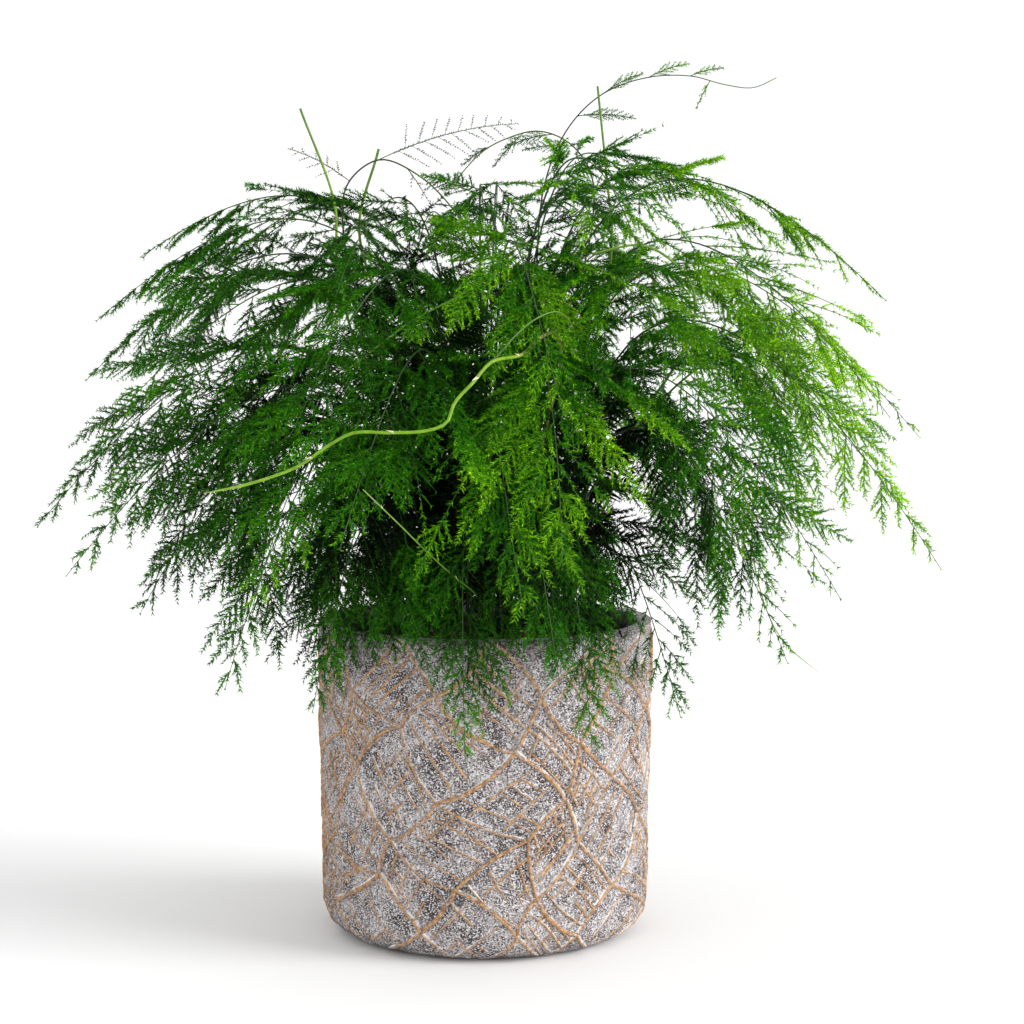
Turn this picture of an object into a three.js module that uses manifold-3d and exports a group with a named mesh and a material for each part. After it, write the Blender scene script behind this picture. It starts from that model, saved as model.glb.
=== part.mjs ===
// Potted asparagus fern: a cylindrical cement pot with a raised net of ridges, filled with soil, in which
// stand wiry stems that arch outwards and carry flat, feathery sprays of fine needles.
// Millimetres, +Z up, the origin at the centre of the pot's foot, -Y towards the viewer.

import * as THREE from "three";
import { mergeVertices } from "three/addons/utils/BufferGeometryUtils.js";
import Module from "manifold-3d";

// The pot: radii outside and inside, heights, and the rounding at the foot.
const POT = { rim: 100, wallFoot: 97, height: 187, footRound: 20, inside: 91, insideFoot: 80, floor: 11 };
const POT_SIDES = 20;
const CORNER = 12;
const DRAFT = 3;

// The net of ridges: a staggered lattice round the pot, its nodes and edges moved by a seeded draw.
const NET = { columns: 11, rows: 7, shift: 0.3, bulge: 0.13, half: 2.4, high: 1.8, fade: 0.09, gone: 0.1 };

// The soil, the holes in it, and the clearances between pieces.
const SOIL_TOP = 166;
const SOIL_CROWN = 3;
const FIT = 0.35;
const HOLE = { depth: 14, sides: 4, spare: 0.9 };
const STEM_BASE = SOIL_TOP + 4;
const CLEAR = { others: 0.6, own: 0.1, rim: 3 };

// Stems, feathers and needles: radii and lengths, angles in degrees, and shares of their length.
const STEM = { foot: 1.25, tip: 0.55, bareRings: 2, whip: 0.13, knot: 1.9 };
const FEATHER = { root: 0.62, tip: 0.42, base: 62, end: 34, cup: 11, droop: 0.16, sweep: 0.12 };
const NEEDLE = { length: 5.6, radius: 0.2, whorl: 1.3, lean: 0.75, extra: 0.2 };
const CUTS = [1, 0.74, 0.5];
const SIDES = [1, -1];

// The fronds by tier, from the middle of the crown outwards. Each row holds the heading in degrees (0 is
// +X, 90 is the back), the reach of the tip from the pot's axis, the height of the tip, the height of the
// arch, the half width of the spray, the roll of the spray and the turn of the heading on the way out. The
// sprays to the left and right also lean by the tier's angle, so that they show their flat side in front.
const TIERS = [
  {
    name: "crown", foot: 15, leafy: 0.44, pairs: 5, lean: 8,
    rows: [
      [174, 206, 404, 430, 46, -8, 4], [197, 228, 366, 420, 46, 10, -6], [158, 170, 398, 428, 48, 6, 8],
      [121, 118, 394, 424, 48, -6, -8], [82, 120, 412, 442, 50, 2, 6], [29, 124, 428, 456, 50, -6, 4],
      [12, 180, 412, 450, 50, 8, 5], [-12, 236, 378, 444, 50, -8, 5], [-45, 146, 396, 452, 52, 2, -8],
      [-95, 92, 394, 436, 50, -4, 8], [-133, 134, 380, 430, 52, 8, 6], [60, 192, 400, 438, 50, -6, 4],
    ],
  },
  {
    name: "shoulder", foot: 28, leafy: 0.43, pairs: 5, lean: 46,
    rows: [
      [168, 244, 330, 404, 52, 8, 6], [213, 226, 316, 388, 54, -10, -6], [-118, 176, 304, 394, 58, 8, -8],
      [-81, 150, 316, 410, 58, -8, 8], [-51, 196, 298, 394, 56, 10, 4], [-22, 242, 312, 412, 54, -8, 4],
      [8, 262, 296, 400, 54, 8, -6], [45, 230, 330, 408, 54, -8, 6], [90, 192, 322, 396, 56, 8, -6],
      [131, 214, 330, 402, 54, -6, 6],
    ],
  },
  {
    name: "skirt", foot: 42, leafy: 0.41, pairs: 5, lean: 58,
    rows: [
      [185, 264, 246, 350, 52, 6, 3], [203, 250, 222, 328, 52, -8, -4], [231, 212, 212, 342, 56, 10, 4],
      [-110, 184, 246, 350, 60, -6, -4], [-89, 186, 212, 324, 58, 8, 6], [-70, 178, 236, 352, 58, -8, -6],
      [-36, 232, 214, 338, 56, 8, 4], [-7, 270, 222, 366, 54, -8, -3], [19, 276, 262, 354, 52, 8, 3],
      [57, 240, 226, 344, 56, -8, 4], [102, 214, 222, 338, 58, 8, -4], [144, 240, 230, 348, 56, -8, 4],
    ],
  },
  {
    name: "low", foot: 54, leafy: 0.38, pairs: 4, lean: 62,
    rows: [
      [216, 188, 164, 300, 64, 8, 5], [189, 206, 192, 308, 60, -8, -5], [-128, 160, 170, 284, 60, 8, 5],
      [-78, 152, 172, 290, 56, -8, 4], [-24, 196, 174, 302, 62, -8, -5], [22, 206, 190, 308, 60, 8, 5],
      [78, 180, 172, 292, 58, -8, -5], [124, 188, 174, 298, 60, 8, 5],
    ],
  },
  {
    name: "rim", foot: 64, leafy: 0.34, pairs: 4, lean: 50,
    rows: [
      [-98, 134, 126, 248, 42, 6, 4], [-60, 138, 130, 250, 42, -6, -4], [-140, 134, 146, 250, 46, -6, 4],
      [-38, 136, 140, 250, 46, 6, 4], [98, 134, 140, 248, 44, 6, 4],
    ],
  },
];

// Stems with a course of their own: the foot, the points from there up, the radius at foot and tip, how
// many steps the course takes, and the shoots, as share of the stem, length and direction.
const LONE_STEMS = [
  {
    name: "stem_winding", foot: [8, -22], radius: [1.3, 0.8], steps: 30, shoots: [],
    course: [
      [20, -34, 240], [36, -62, 306], [44, -82, 346], [41, -96, 359], [32, -112, 357], [22, -130, 348],
      [5, -154, 344], [-4, -164, 334], [-14, -171, 323], [-18, -176, 313], [-28, -179, 309], [-48, -181, 308],
      [-66, -181, 308], [-80, -178, 301], [-96, -172, 290], [-123, -162, 280], [-149, -150, 274],
    ],
  },
  {
    name: "stem_cut_tall", foot: [-21, -4], radius: [1.4, 1.1], steps: 8, shoots: [],
    course: [[-40, -9, 260], [-76, -11, 350], [-87, -13, 400], [-88, -13, 434], [-108, -13, 490]],
  },
  {
    name: "stem_cut_short", foot: [-18, 10], radius: [1.4, 1.2], steps: 8, shoots: [],
    course: [[-30, 17, 260], [-58, 21, 360], [-76, 22, 420], [-64, 22, 469]],
  },
  {
    name: "stem_cut_right", foot: [19, 9], radius: [1.3, 1], steps: 8, shoots: [],
    course: [[36, 16, 260], [66, 26, 350], [77, 29, 412], [74, 29, 450], [68, 29, 507]],
  },
  {
    name: "spray_arch_sparse", foot: [-21, 2], radius: [1.2, 0.6], steps: 15,
    shoots: [[0.74, 46, [-0.8, 0, 0.62]], [0.79, 92, [0.9, 0, 0.43]], [0.84, 24, [0.6, -0.2, -0.75]]],
    course: [
      [-36, 0, 260], [-70, -2, 360], [-84, -2, 420], [-81, -2, 447], [-62, -2, 461], [-38, -2, 451],
      [-18, -2, 431], [-4, -2, 408],
    ],
  },
  {
    name: "spray_tall_arch", foot: [4, 21], radius: [1.2, 0.55], steps: 17,
    shoots: [
      [0.72, 36, [0.94, -0.1, 0.14]], [0.76, 30, [0.8, 0, 0.6]], [0.83, 28, [0.9, 0, 0.5]],
      [0.885, 22, [0.9, -0.1, 0.4]], [0.905, 16, [-0.5, 0, -0.8]],
    ],
    course: [
      [16, 30, 260], [30, 38, 380], [36, 38, 448], [50, 38, 482], [71, 38, 503], [98, 38, 513],
      [125, 38, 514], [145, 38, 509], [163, 38, 507], [177, 38, 513],
    ],
  },
  {
    name: "spray_nodding", foot: [13, 17], radius: [1.2, 0.55], steps: 16,
    shoots: [
      [0.79, 34, [-0.9, -0.4, 0.1]], [0.83, 34, [-0.8, 0.5, 0]], [0.87, 26, [-0.7, -0.3, -0.6]],
      [0.93, 22, [-0.8, 0.5, -0.3]],
    ],
    course: [
      [24, 20, 260], [50, 24, 360], [65, 24, 426], [64, 22, 454], [51, 18, 472], [32, 14, 479],
      [12, 12, 474], [-2, 10, 466], [-17, 8, 450],
    ],
  },
  {
    name: "stem_arch_right", foot: [34, -8], radius: [1.3, 0.8], steps: 15, shoots: [],
    course: [
      [50, -14, 240], [92, -30, 310], [118, -44, 354], [121, -50, 382], [108, -54, 400], [90, -56, 409],
      [62, -56, 404],
    ],
  },
  {
    name: "stem_trailing", foot: [46, 4], radius: [1.2, 0.5], steps: 17,
    shoots: [[0.53, 28, [0.7, -0.3, -0.4]], [0.6, 22, [-0.6, 0.2, -0.6]]],
    course: [
      [66, -2, 240], [108, -14, 322], [144, -28, 344], [164, -34, 318], [160, -36, 276], [157, -36, 237],
      [164, -36, 202], [176, -34, 178], [201, -30, 156],
    ],
  },
];

const COLOURS = { pot: 0x8d8681, soil: 0x2b2019, frond: 0x2f6b1a, stem: 0x93a83a };

const UP = new THREE.Vector3(0, 0, 1);
const radians = (degrees) => (degrees * Math.PI) / 180;
const mix = (a, b, share) => a + (b - a) * share;

// A repeatable draw between 0 and 1, and one between -1 and 1, for a piece and its use.
function draw(a, b = 0, c = 0) {
  const wave = Math.sin(a * 12.9898 + b * 78.233 + c * 37.719) * 43758.5453;
  return wave - Math.floor(wave);
}
const spread = (a, b, c) => draw(a, b, c) * 2 - 1;

const wasm = await Module();
wasm.setup();

// A closed three.js geometry as a manifold solid, with its shared vertices merged.
function solidOf(geometry) {
  const bare = new THREE.BufferGeometry();
  bare.setAttribute("position", geometry.getAttribute("position"));
  bare.setIndex(geometry.index);
  const merged = mergeVertices(bare, 1e-3);
  const corners = merged.index.array;
  const kept = [];
  for (let i = 0; i < corners.length; i += 3) {
    const [a, b, c] = [corners[i], corners[i + 1], corners[i + 2]];
    if (a !== b && b !== c && c !== a) kept.push(a, b, c);
  }
  return new wasm.Manifold(
    new wasm.Mesh({
      numProp: 3,
      vertProperties: merged.attributes.position.array,
      triVerts: new Uint32Array(kept),
    }),
  );
}

function geometryOf(solid) {
  const mesh = solid.getMesh();
  const places = new Float32Array(mesh.numVert * 3);
  for (let i = 0; i < mesh.numVert; i += 1) {
    places.set(mesh.vertProperties.subarray(i * mesh.numProp, i * mesh.numProp + 3), i * 3);
  }
  const geometry = new THREE.BufferGeometry();
  geometry.setAttribute("position", new THREE.BufferAttribute(places, 3));
  geometry.setIndex(new THREE.BufferAttribute(mesh.triVerts, 1));
  return geometry;
}

function named(name, solid, color, roughness) {
  const geometry = geometryOf(solid);
  geometry.computeVertexNormals();
  const material = new THREE.MeshStandardMaterial({ color, roughness, metalness: 0, flatShading: true });
  const mesh = new THREE.Mesh(geometry, material);
  mesh.name = name;
  return mesh;
}

// A solid of revolution about the vertical axis, from [radius, height] points that start and end on it.
function turned(points, sides) {
  const profile = points.map(([r, z]) => new THREE.Vector2(r, z));
  return solidOf(new THREE.LatheGeometry(profile, sides).rotateX(Math.PI / 2));
}

// The pot's outer face: a place from the turn round the pot and the share of the way up its profile.
const FOOT_ARC = (Math.PI / 2) * POT.footRound;
const PROFILE = FOOT_ARC + POT.height - POT.footRound;
const GIRTH = 2 * Math.PI * POT.wallFoot;

function potPoint(turn, rise, relief) {
  const along = rise * PROFILE;
  const angle = Math.min(along / POT.footRound, Math.PI / 2);
  const up = Math.max(0, along - FOOT_ARC) / (PROFILE - FOOT_ARC);
  const wall = POT.wallFoot - POT.footRound * (1 - Math.sin(angle)) + (POT.rim - POT.wallFoot) * up;
  const radius = wall + relief * Math.sin(angle);
  const z = POT.footRound * (1 - Math.cos(angle)) + up * (POT.height - POT.footRound) - relief * Math.cos(angle);
  const around = turn * 2 * Math.PI;
  return new THREE.Vector3(radius * Math.cos(around), radius * Math.sin(around), z);
}

// Ridges sink into the wall at the foot and at the rim.
function ridgeHeight(rise) {
  return NET.high * Math.max(0, Math.min(1, rise / NET.fade - 0.3, (3 * (1 - rise)) / NET.fade));
}

// A node of the net, in turns and share of the profile.
function netNode(column, row) {
  const home = ((column % NET.columns) + NET.columns) % NET.columns;
  const lap = (column - home) / NET.columns;
  const inside = row > 0 && row < NET.rows;
  const turn = (home + (row % 2) / 2 + NET.shift * spread(home, row, 1)) / NET.columns;
  return [turn + lap, (row + (inside ? NET.shift * spread(home, row, 2) : 0)) / NET.rows];
}

// The middle of an edge of the net, bowed to one side, and whether the ridge shows there.
function netMiddle(from, to) {
  const [a, b] = [netNode(...from), netNode(...to)];
  const key = from[1] * 7.3 + to[1] * 3.1;
  const home = (((from[0] + to[0]) % (2 * NET.columns)) + 2 * NET.columns) % (2 * NET.columns);
  const level = from[1] === to[1];
  const bow = level ? 0 : NET.bulge * spread(home, key, 3);
  const across = [((b[1] - a[1]) * PROFILE) / GIRTH, (-(b[0] - a[0]) * GIRTH) / PROFILE];
  const place = [(a[0] + b[0]) / 2 + across[0] * bow, (a[1] + b[1]) / 2 + across[1] * bow];
  return { place, shown: !level && draw(home, key, 4) > NET.gone };
}

// One cell of the net: slopes from its ridges down to an inner outline, and a fan across that.
function netCell(corners) {
  const crest = corners.flatMap((corner, i) => {
    const next = corners[(i + 1) % corners.length];
    const forward = corner[1] < next[1] || (corner[1] === next[1] && corner[0] < next[0]);
    const middle = forward ? netMiddle(corner, next) : netMiddle(next, corner);
    return [{ place: netNode(...corner), shown: true }, middle];
  });
  const middle = [0, 1].map((axis) => crest.reduce((sum, point) => sum + point.place[axis], 0) / crest.length);
  const inner = crest.map(({ place }) => {
    const step = [(middle[0] - place[0]) * GIRTH, (middle[1] - place[1]) * PROFILE];
    const share = Math.min(0.4, NET.half / Math.hypot(...step));
    return potPoint(mix(place[0], middle[0], share), mix(place[1], middle[1], share), 0);
  });
  const top = crest.map(({ place, shown }) => potPoint(...place, shown ? ridgeHeight(place[1]) : 0));
  const centre = potPoint(...middle, 0);
  return top.flatMap((point, i) => {
    const j = (i + 1) % top.length;
    return [point, top[j], inner[j], point, inner[j], inner[i], inner[i], inner[j], centre];
  });
}

// The pot: the net wrapped round it, closed by its flat foot and top, less the room for the soil.
function potSolid() {
  const points = [];
  for (let column = 0; column < NET.columns; column += 1) {
    for (let row = 0; row <= NET.rows; row += 1) {
      const middle = column + (row % 2);
      const below = row > 0 ? [[middle, row - 1]] : [];
      const above = row < NET.rows ? [[middle, row + 1]] : [];
      points.push(...netCell([...below, [column + 1, row], ...above, [column, row]]));
    }
    for (const row of [0, NET.rows]) {
      const ends = [[column, row], [column + 1, row]];
      const places = [netNode(...ends[0]), netMiddle(...ends).place, netNode(...ends[1])];
      const [left, middle, right] = places.map((place) => potPoint(...place, 0));
      const hub = new THREE.Vector3(0, 0, left.z);
      if (row === 0) points.push(middle, left, hub, right, middle, hub);
      else points.push(left, middle, hub, middle, right, hub);
    }
  }
  const outside = solidOf(new THREE.BufferGeometry().setFromPoints(points));
  const mouth = POT.height + 5;
  const room = turned(
    [[0, POT.floor], [POT.insideFoot, POT.floor], [POT.inside - DRAFT, POT.floor + CORNER], [POT.inside, mouth],
      [0, mouth]],
    POT_SIDES,
  );
  return outside.subtract(room);
}

// The soil fills the pot up to below its rim, with a plain hole for each stem.
function soilSolid(stems) {
  const low = POT.floor + CORNER;
  const edge = POT.inside - DRAFT * (1 - (SOIL_TOP - low) / (POT.height - low)) - FIT;
  const body = turned(
    [[0, POT.floor + FIT], [POT.insideFoot - FIT, POT.floor + FIT], [POT.inside - DRAFT - FIT, low + FIT],
      [edge, SOIL_TOP - 2], [edge * 0.8, SOIL_TOP], [0, SOIL_TOP + SOIL_CROWN]],
    POT_SIDES,
  );
  return stems.reduce((soil, stem) => {
    const { at } = stem.frame(0);
    const radius = stem.radius(0) + HOLE.spare;
    const tall = HOLE.depth + FIT + 2 * SOIL_CROWN;
    const hole = new THREE.CylinderGeometry(radius, radius, tall, HOLE.sides).rotateX(Math.PI / 2);
    hole.translate(at.x, at.y, SOIL_TOP - HOLE.depth - FIT + tall / 2);
    return soil.subtract(solidOf(hole));
  }, body);
}

// A closed skin that grows: tubes of three sides, from whose faces side shoots and needles grow.
class Sprig {
  constructor() {
    this.points = [];
    this.faces = new Set();
  }

  add(point) {
    this.points.push(point.clone());
    return this.points.length - 1;
  }

  face(a, b, c) {
    const made = [a, b, c];
    this.faces.add(made);
    return made;
  }

  middle(face) {
    const sum = new THREE.Vector3();
    for (const corner of face) sum.add(this.points[corner]);
    return sum.divideScalar(3);
  }

  outward([a, b, c]) {
    const one = this.points[b].clone().sub(this.points[a]);
    const two = this.points[c].clone().sub(this.points[a]);
    return one.cross(two).normalize();
  }

  // A ring of three corners, the first of them towards the hint.
  ring(centre, along, hint, radius) {
    const first = hint.clone().addScaledVector(along, -hint.dot(along)).normalize();
    return [0, 1, 2].map((k) => {
      const arm = first.clone().applyAxisAngle(along, (k * 2 * Math.PI) / 3);
      return this.add(centre.clone().addScaledVector(arm, radius));
    });
  }

  // A ring turned so that its corners line up with those of the ring or face before it.
  follow(from, centre, along, radius) {
    const middle = this.middle(from);
    const hint = new THREE.Vector3();
    from.forEach((corner, k) => {
      const arm = this.points[corner].clone().sub(middle);
      arm.addScaledVector(along, -arm.dot(along));
      hint.add(arm.applyAxisAngle(along, (-k * 2 * Math.PI) / 3));
    });
    return this.ring(centre, along, hint, radius);
  }

  // The six faces between two rings, two for each side.
  bridge(from, to) {
    return [0, 1, 2].flatMap((k) => {
      const next = (k + 1) % 3;
      return [this.face(from[k], from[next], to[next]), this.face(from[k], to[next], to[k])];
    });
  }

  // The faces between a ring and a tip, or between a face, which they take the place of, and a tip.
  spike(ring, tip) {
    this.faces.delete(ring);
    const apex = this.add(tip);
    ring.forEach((corner, k) => this.face(corner, ring[(k + 1) % 3], apex));
  }

  // The face whose outside looks most in a direction, of those that nothing grows from yet.
  facing(faces, way) {
    const open = faces.filter((face) => this.faces.has(face));
    return open.reduce((best, face) => (this.outward(face).dot(way) > this.outward(best).dot(way) ? face : best));
  }

  solid() {
    const points = [...this.faces].flatMap((face) => face.map((corner) => this.points[corner]));
    return solidOf(new THREE.BufferGeometry().setFromPoints(points));
  }
}

// Every stretch placed so far, with its owner, so that nothing grows through a neighbour or itself.
const placed = [];

function claim(owner, points, radius) {
  points.slice(1).forEach((point, i) => {
    placed.push({ owner, line: new THREE.Line3(points[i].clone(), point.clone()), radius });
  });
}

// The least distance between two straight stretches, by closing in on the nearest place along the first.
function apart(line, other) {
  const probe = new THREE.Vector3();
  const near = new THREE.Vector3();
  const distance = (share) => {
    line.at(share, probe);
    other.closestPointToPoint(probe, true, near);
    return probe.distanceTo(near);
  };
  let [low, high] = [0, 1];
  for (let step = 0; step < 12; step += 1) {
    const third = (high - low) / 3;
    if (distance(low + third) < distance(high - third)) high -= third;
    else low += third;
  }
  return distance((low + high) / 2);
}

// Whether a place lies in the pot's wall or rim, or in the soil.
function inPot(place) {
  const out = Math.hypot(place.x, place.y);
  const wall = out > POT.inside - CLEAR.rim && out < POT.rim + NET.high + CLEAR.rim;
  return (wall && place.z < POT.height + CLEAR.rim) || (out <= POT.inside && place.z < STEM_BASE + 1);
}

// Whether a course runs clear of the pot, of other pieces, and past its root of its own piece too.
function isClear(owner, points, radius, root) {
  return points.slice(1).every((end, i) => {
    const start = points[i];
    const probes = [0.2, 0.4, 0.6, 0.8, 1].map((share) => start.clone().lerp(end, share));
    if (probes.some(inPot)) return false;
    const length = start.distanceTo(end);
    const free = i > 0 ? start : start.clone().lerp(end, Math.min(0.9, root / length));
    return placed.every((other) => {
      const own = other.owner === owner;
      const line = new THREE.Line3(own ? free : start, end);
      const room = radius + other.radius + (own ? CLEAR.own : CLEAR.others);
      const gap = line.start.distanceTo(other.line.start) - line.distance() - other.line.distance();
      return gap > room || apart(line, other.line) > room;
    });
  });
}

// Needles round a short stretch: one from each side, and now and then a second.
function whorl(sprig, owner, faces, along, key) {
  faces.forEach((face, k) => {
    const side = Math.floor(k / 2);
    const chosen = k % 2 === Math.round(draw(key, side, 5));
    if (!chosen && draw(key, k, 6) > NEEDLE.extra) return;
    const root = sprig.middle(face);
    const lean = NEEDLE.lean + 0.4 * spread(key, side, 7);
    const way = sprig.outward(face).addScaledVector(along, lean).normalize();
    const tip = root.clone().addScaledVector(way, NEEDLE.length * (0.85 + 0.2 * draw(key, k, 8)));
    if (!isClear(owner, [root, tip], NEEDLE.radius, NEEDLE.length * 0.55)) return;
    sprig.spike(face, tip);
    claim(owner, [root, tip], NEEDLE.radius);
  });
}

// A feather: a slim side shoot that grows from a face, with whorls of needles at shares of its length.
// It is cut shorter, or left out, where a neighbour is in its way.
function feather(sprig, owner, face, shoot) {
  const root = sprig.middle(face);
  const course = (cut) => [root, ...[...shoot.whorls, 1].map((share) => shoot.path(share * cut))];
  const cut = CUTS.find((each) => isClear(owner, course(each), FEATHER.root, 6));
  if (!cut) return;
  claim(owner, course(cut), FEATHER.root);
  sprig.faces.delete(face);
  let ring = face;
  shoot.whorls.forEach((share, i) => {
    const at = shoot.path(share * cut);
    const along = shoot.path(share * cut + 0.02).sub(at).normalize();
    const radius = mix(FEATHER.root, FEATHER.tip, share);
    const low = sprig.follow(ring, at, along, radius);
    const high = sprig.follow(low, at.clone().addScaledVector(along, NEEDLE.whorl), along, radius);
    sprig.bridge(ring, low);
    whorl(sprig, owner, sprig.bridge(low, high), along, shoot.key + i);
    ring = high;
  });
  sprig.spike(ring, shoot.path(cut));
}

// The course of a frond's stem: a place at a share of it, and the frame that its spray lies in there.
function bezier(a, b, c, d, t) {
  const s = 1 - t;
  return s * s * s * a + 3 * s * s * t * b + 3 * s * t * t * c + t * t * t * d;
}

function frondPoint(frond, t) {
  const turn = radians(frond.heading + frond.twist * t * t);
  const span = frond.reach - frond.foot;
  const out = bezier(frond.foot, frond.foot + 0.06 * span, frond.foot + 0.58 * span, frond.reach, t);
  const arm = (frond.arch - 0.125 * STEM_BASE - 0.125 * frond.tip) / 0.75;
  const lean = 0.25 * (arm - frond.tip);
  const z = bezier(STEM_BASE, arm + lean, arm - lean, frond.tip, t);
  return new THREE.Vector3(out * Math.cos(turn), out * Math.sin(turn), z);
}

function frondFrame(frond, t) {
  const [before, after] = [Math.max(0, t - 0.004), Math.min(1, t + 0.004)];
  const along = frondPoint(frond, after).sub(frondPoint(frond, before)).normalize();
  const turn = radians(frond.heading + frond.twist * t * t);
  const side = new THREE.Vector3(-Math.sin(turn), Math.cos(turn), 0);
  side.addScaledVector(along, -side.dot(along)).normalize();
  const roll = frond.roll + frond.lean * Math.cos(radians(frond.heading));
  side.applyAxisAngle(along, radians(roll) * Math.min(1, 1.4 * t));
  return { at: frondPoint(frond, t), along, side, normal: along.clone().cross(side) };
}

// The outline of the spray: how far its feathers reach to the side, from the first to the last.
function outline(u) {
  return u < 0.2 ? 0.62 + 1.9 * u : 1 - 0.88 * Math.pow((u - 0.2) / 0.8, 1.1);
}

// One feather of a frond, at a share of its leafy part, drooping and swept forwards.
function frondShoot(frond, u, side, key) {
  const { at, along, side: across, normal } = frondFrame(frond, mix(frond.leafy, 1 - STEM.whip, u));
  const angle = radians(mix(FEATHER.base, FEATHER.end, u));
  const cup = radians(FEATHER.cup);
  const out = across.clone().multiplyScalar(side * Math.cos(cup)).addScaledVector(normal, -Math.sin(cup));
  const way = along.clone().multiplyScalar(Math.cos(angle)).addScaledVector(out, Math.sin(angle));
  way.addScaledVector(normal, 0.1 * spread(key, u, 9)).normalize();
  const length = ((frond.half * outline(u)) / Math.sin(angle)) * (1 + 0.12 * spread(key, u, 10));
  const path = (share) => {
    const bend = length * share * share;
    const place = at.clone().addScaledVector(way, length * share);
    return place.addScaledVector(along, FEATHER.sweep * bend).addScaledVector(UP, -FEATHER.droop * bend);
  };
  return { way, path, key, whorls: [0.42 + 0.48 * draw(key, u, 11)] };
}

// A frond's stem: bare rings at first, then pairs of feathers, and needles on the whip at its end.
function frondStem(tier, row, level, i) {
  const [heading, reach, tip, arch, half, roll, twist] = row;
  const name = `frond_${tier.name}_${String(i + 1).padStart(2, "0")}`;
  const { foot, leafy, lean } = tier;
  const frond = { heading, reach, tip, arch, half, roll, twist, foot, leafy, lean };
  const stops = [];
  for (let ring = 1; ring < STEM.bareRings; ring += 1) stops.push({ share: (tier.leafy * ring) / STEM.bareRings });
  for (let pair = 0; pair < tier.pairs; pair += 1) {
    const u = (pair + 0.15) / tier.pairs;
    const key = 11 * level + i + 3.7 * pair;
    const shoots = SIDES.map((side) => frondShoot(frond, u, side, key + 0.6 * side));
    stops.push({ share: mix(tier.leafy, 1 - STEM.whip, u), shoots });
  }
  stops.push({ share: 1 - 0.55 * STEM.whip, key: 11 * level + i });
  const radius = (t) => mix(STEM.foot, STEM.tip, Math.pow(t, 0.8));
  return { name, stops, pointed: true, radius, frame: (t) => frondFrame(frond, t) };
}

// A lone stem follows its own points and ends bluntly, as if cut, with its shoots in the way they are given.
function loneStem(lone, i) {
  const points = [[...lone.foot, STEM_BASE], ...lone.course].map((point) => new THREE.Vector3(...point));
  const curve = new THREE.CatmullRomCurve3(points, false, "centripetal");
  const radius = (t) => mix(...lone.radius, t);
  const frame = (t) => ({ at: curve.getPointAt(Math.min(t, 1)), along: curve.getTangentAt(Math.min(t, 1)) });
  const plain = Array.from({ length: lone.steps }, (_, k) => ({ share: (k + 1) / lone.steps }));
  const leafy = lone.shoots.map(([share, length, direction], k) => {
    const way = new THREE.Vector3(...direction).normalize();
    const { at } = frame(share);
    const path = (s) => at.clone().addScaledVector(way, length * s).addScaledVector(UP, -0.2 * length * s * s);
    const whorls = length > 30 ? [0.36, 0.66, 0.9] : [0.45, 0.85];
    return { share, shoots: [{ way, path, whorls, key: 200 + 10 * i + k }] };
  });
  const apart = plain.filter(({ share }) => leafy.every((stop) => Math.abs(stop.share - share) > 0.02));
  const stops = [...apart, ...leafy].sort((one, two) => one.share - two.share);
  return { name: lone.name, stops, radius, frame };
}

// The straight stretches that a stem is made of, from its end in the soil up.
function stemLine(stem) {
  const foot = stem.frame(0).at;
  const buried = foot.clone().setZ(SOIL_TOP - HOLE.depth);
  return [buried, foot, ...stem.stops.map(({ share }) => stem.frame(share).at), stem.frame(1).at];
}

// A stem's whole skin, with what grows from it.
function stemSolid(stem) {
  const sprig = new Sprig();
  const line = stemLine(stem);
  const length = line.slice(1).reduce((sum, point, i) => sum + point.distanceTo(line[i]), 0);
  let ring = sprig.ring(line[0], UP, stem.frame(0).normal ?? new THREE.Vector3(1, 0, 0), stem.radius(0));
  sprig.face(ring[0], ring[2], ring[1]);
  const advance = (share) => {
    const { at, along } = stem.frame(share);
    const next = sprig.follow(ring, at, share > 0 ? along : UP, stem.radius(share));
    const faces = sprig.bridge(ring, next);
    ring = next;
    return faces;
  };
  advance(0);
  for (const { share, shoots, key } of stem.stops) {
    advance(share);
    if (shoots) {
      const faces = advance(share + STEM.knot / length);
      for (const shoot of shoots) feather(sprig, stem.name, sprig.facing(faces, shoot.way), shoot);
    }
    if (key !== undefined) {
      const faces = advance(share + NEEDLE.whorl / length);
      whorl(sprig, stem.name, faces, stem.frame(share).along, key);
    }
  }
  if (stem.pointed) sprig.spike(ring, stem.frame(1).at);
  else sprig.face(...ring);
  return sprig.solid();
}

const loneStems = LONE_STEMS.map(loneStem);
const fronds = TIERS.flatMap((tier, level) => tier.rows.map((row, i) => frondStem(tier, row, level, i)));
const stems = [...loneStems, ...fronds];
for (const stem of stems) claim(stem.name, stemLine(stem), stem.radius(0));

const fern = new THREE.Group();
for (const stem of loneStems) fern.add(named(stem.name, stemSolid(stem), COLOURS.stem, 0.5));
for (const frond of fronds) fern.add(named(frond.name, stemSolid(frond), COLOURS.frond, 0.6));

const potted = new THREE.Group();
potted.add(named("pot", potSolid(), COLOURS.pot, 0.9));
potted.add(named("soil", soilSolid(stems), COLOURS.soil, 1));
potted.add(fern);

export default potted;
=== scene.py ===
"""Potted asparagus fern: its finished foliage, stems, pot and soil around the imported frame."""
import math

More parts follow.
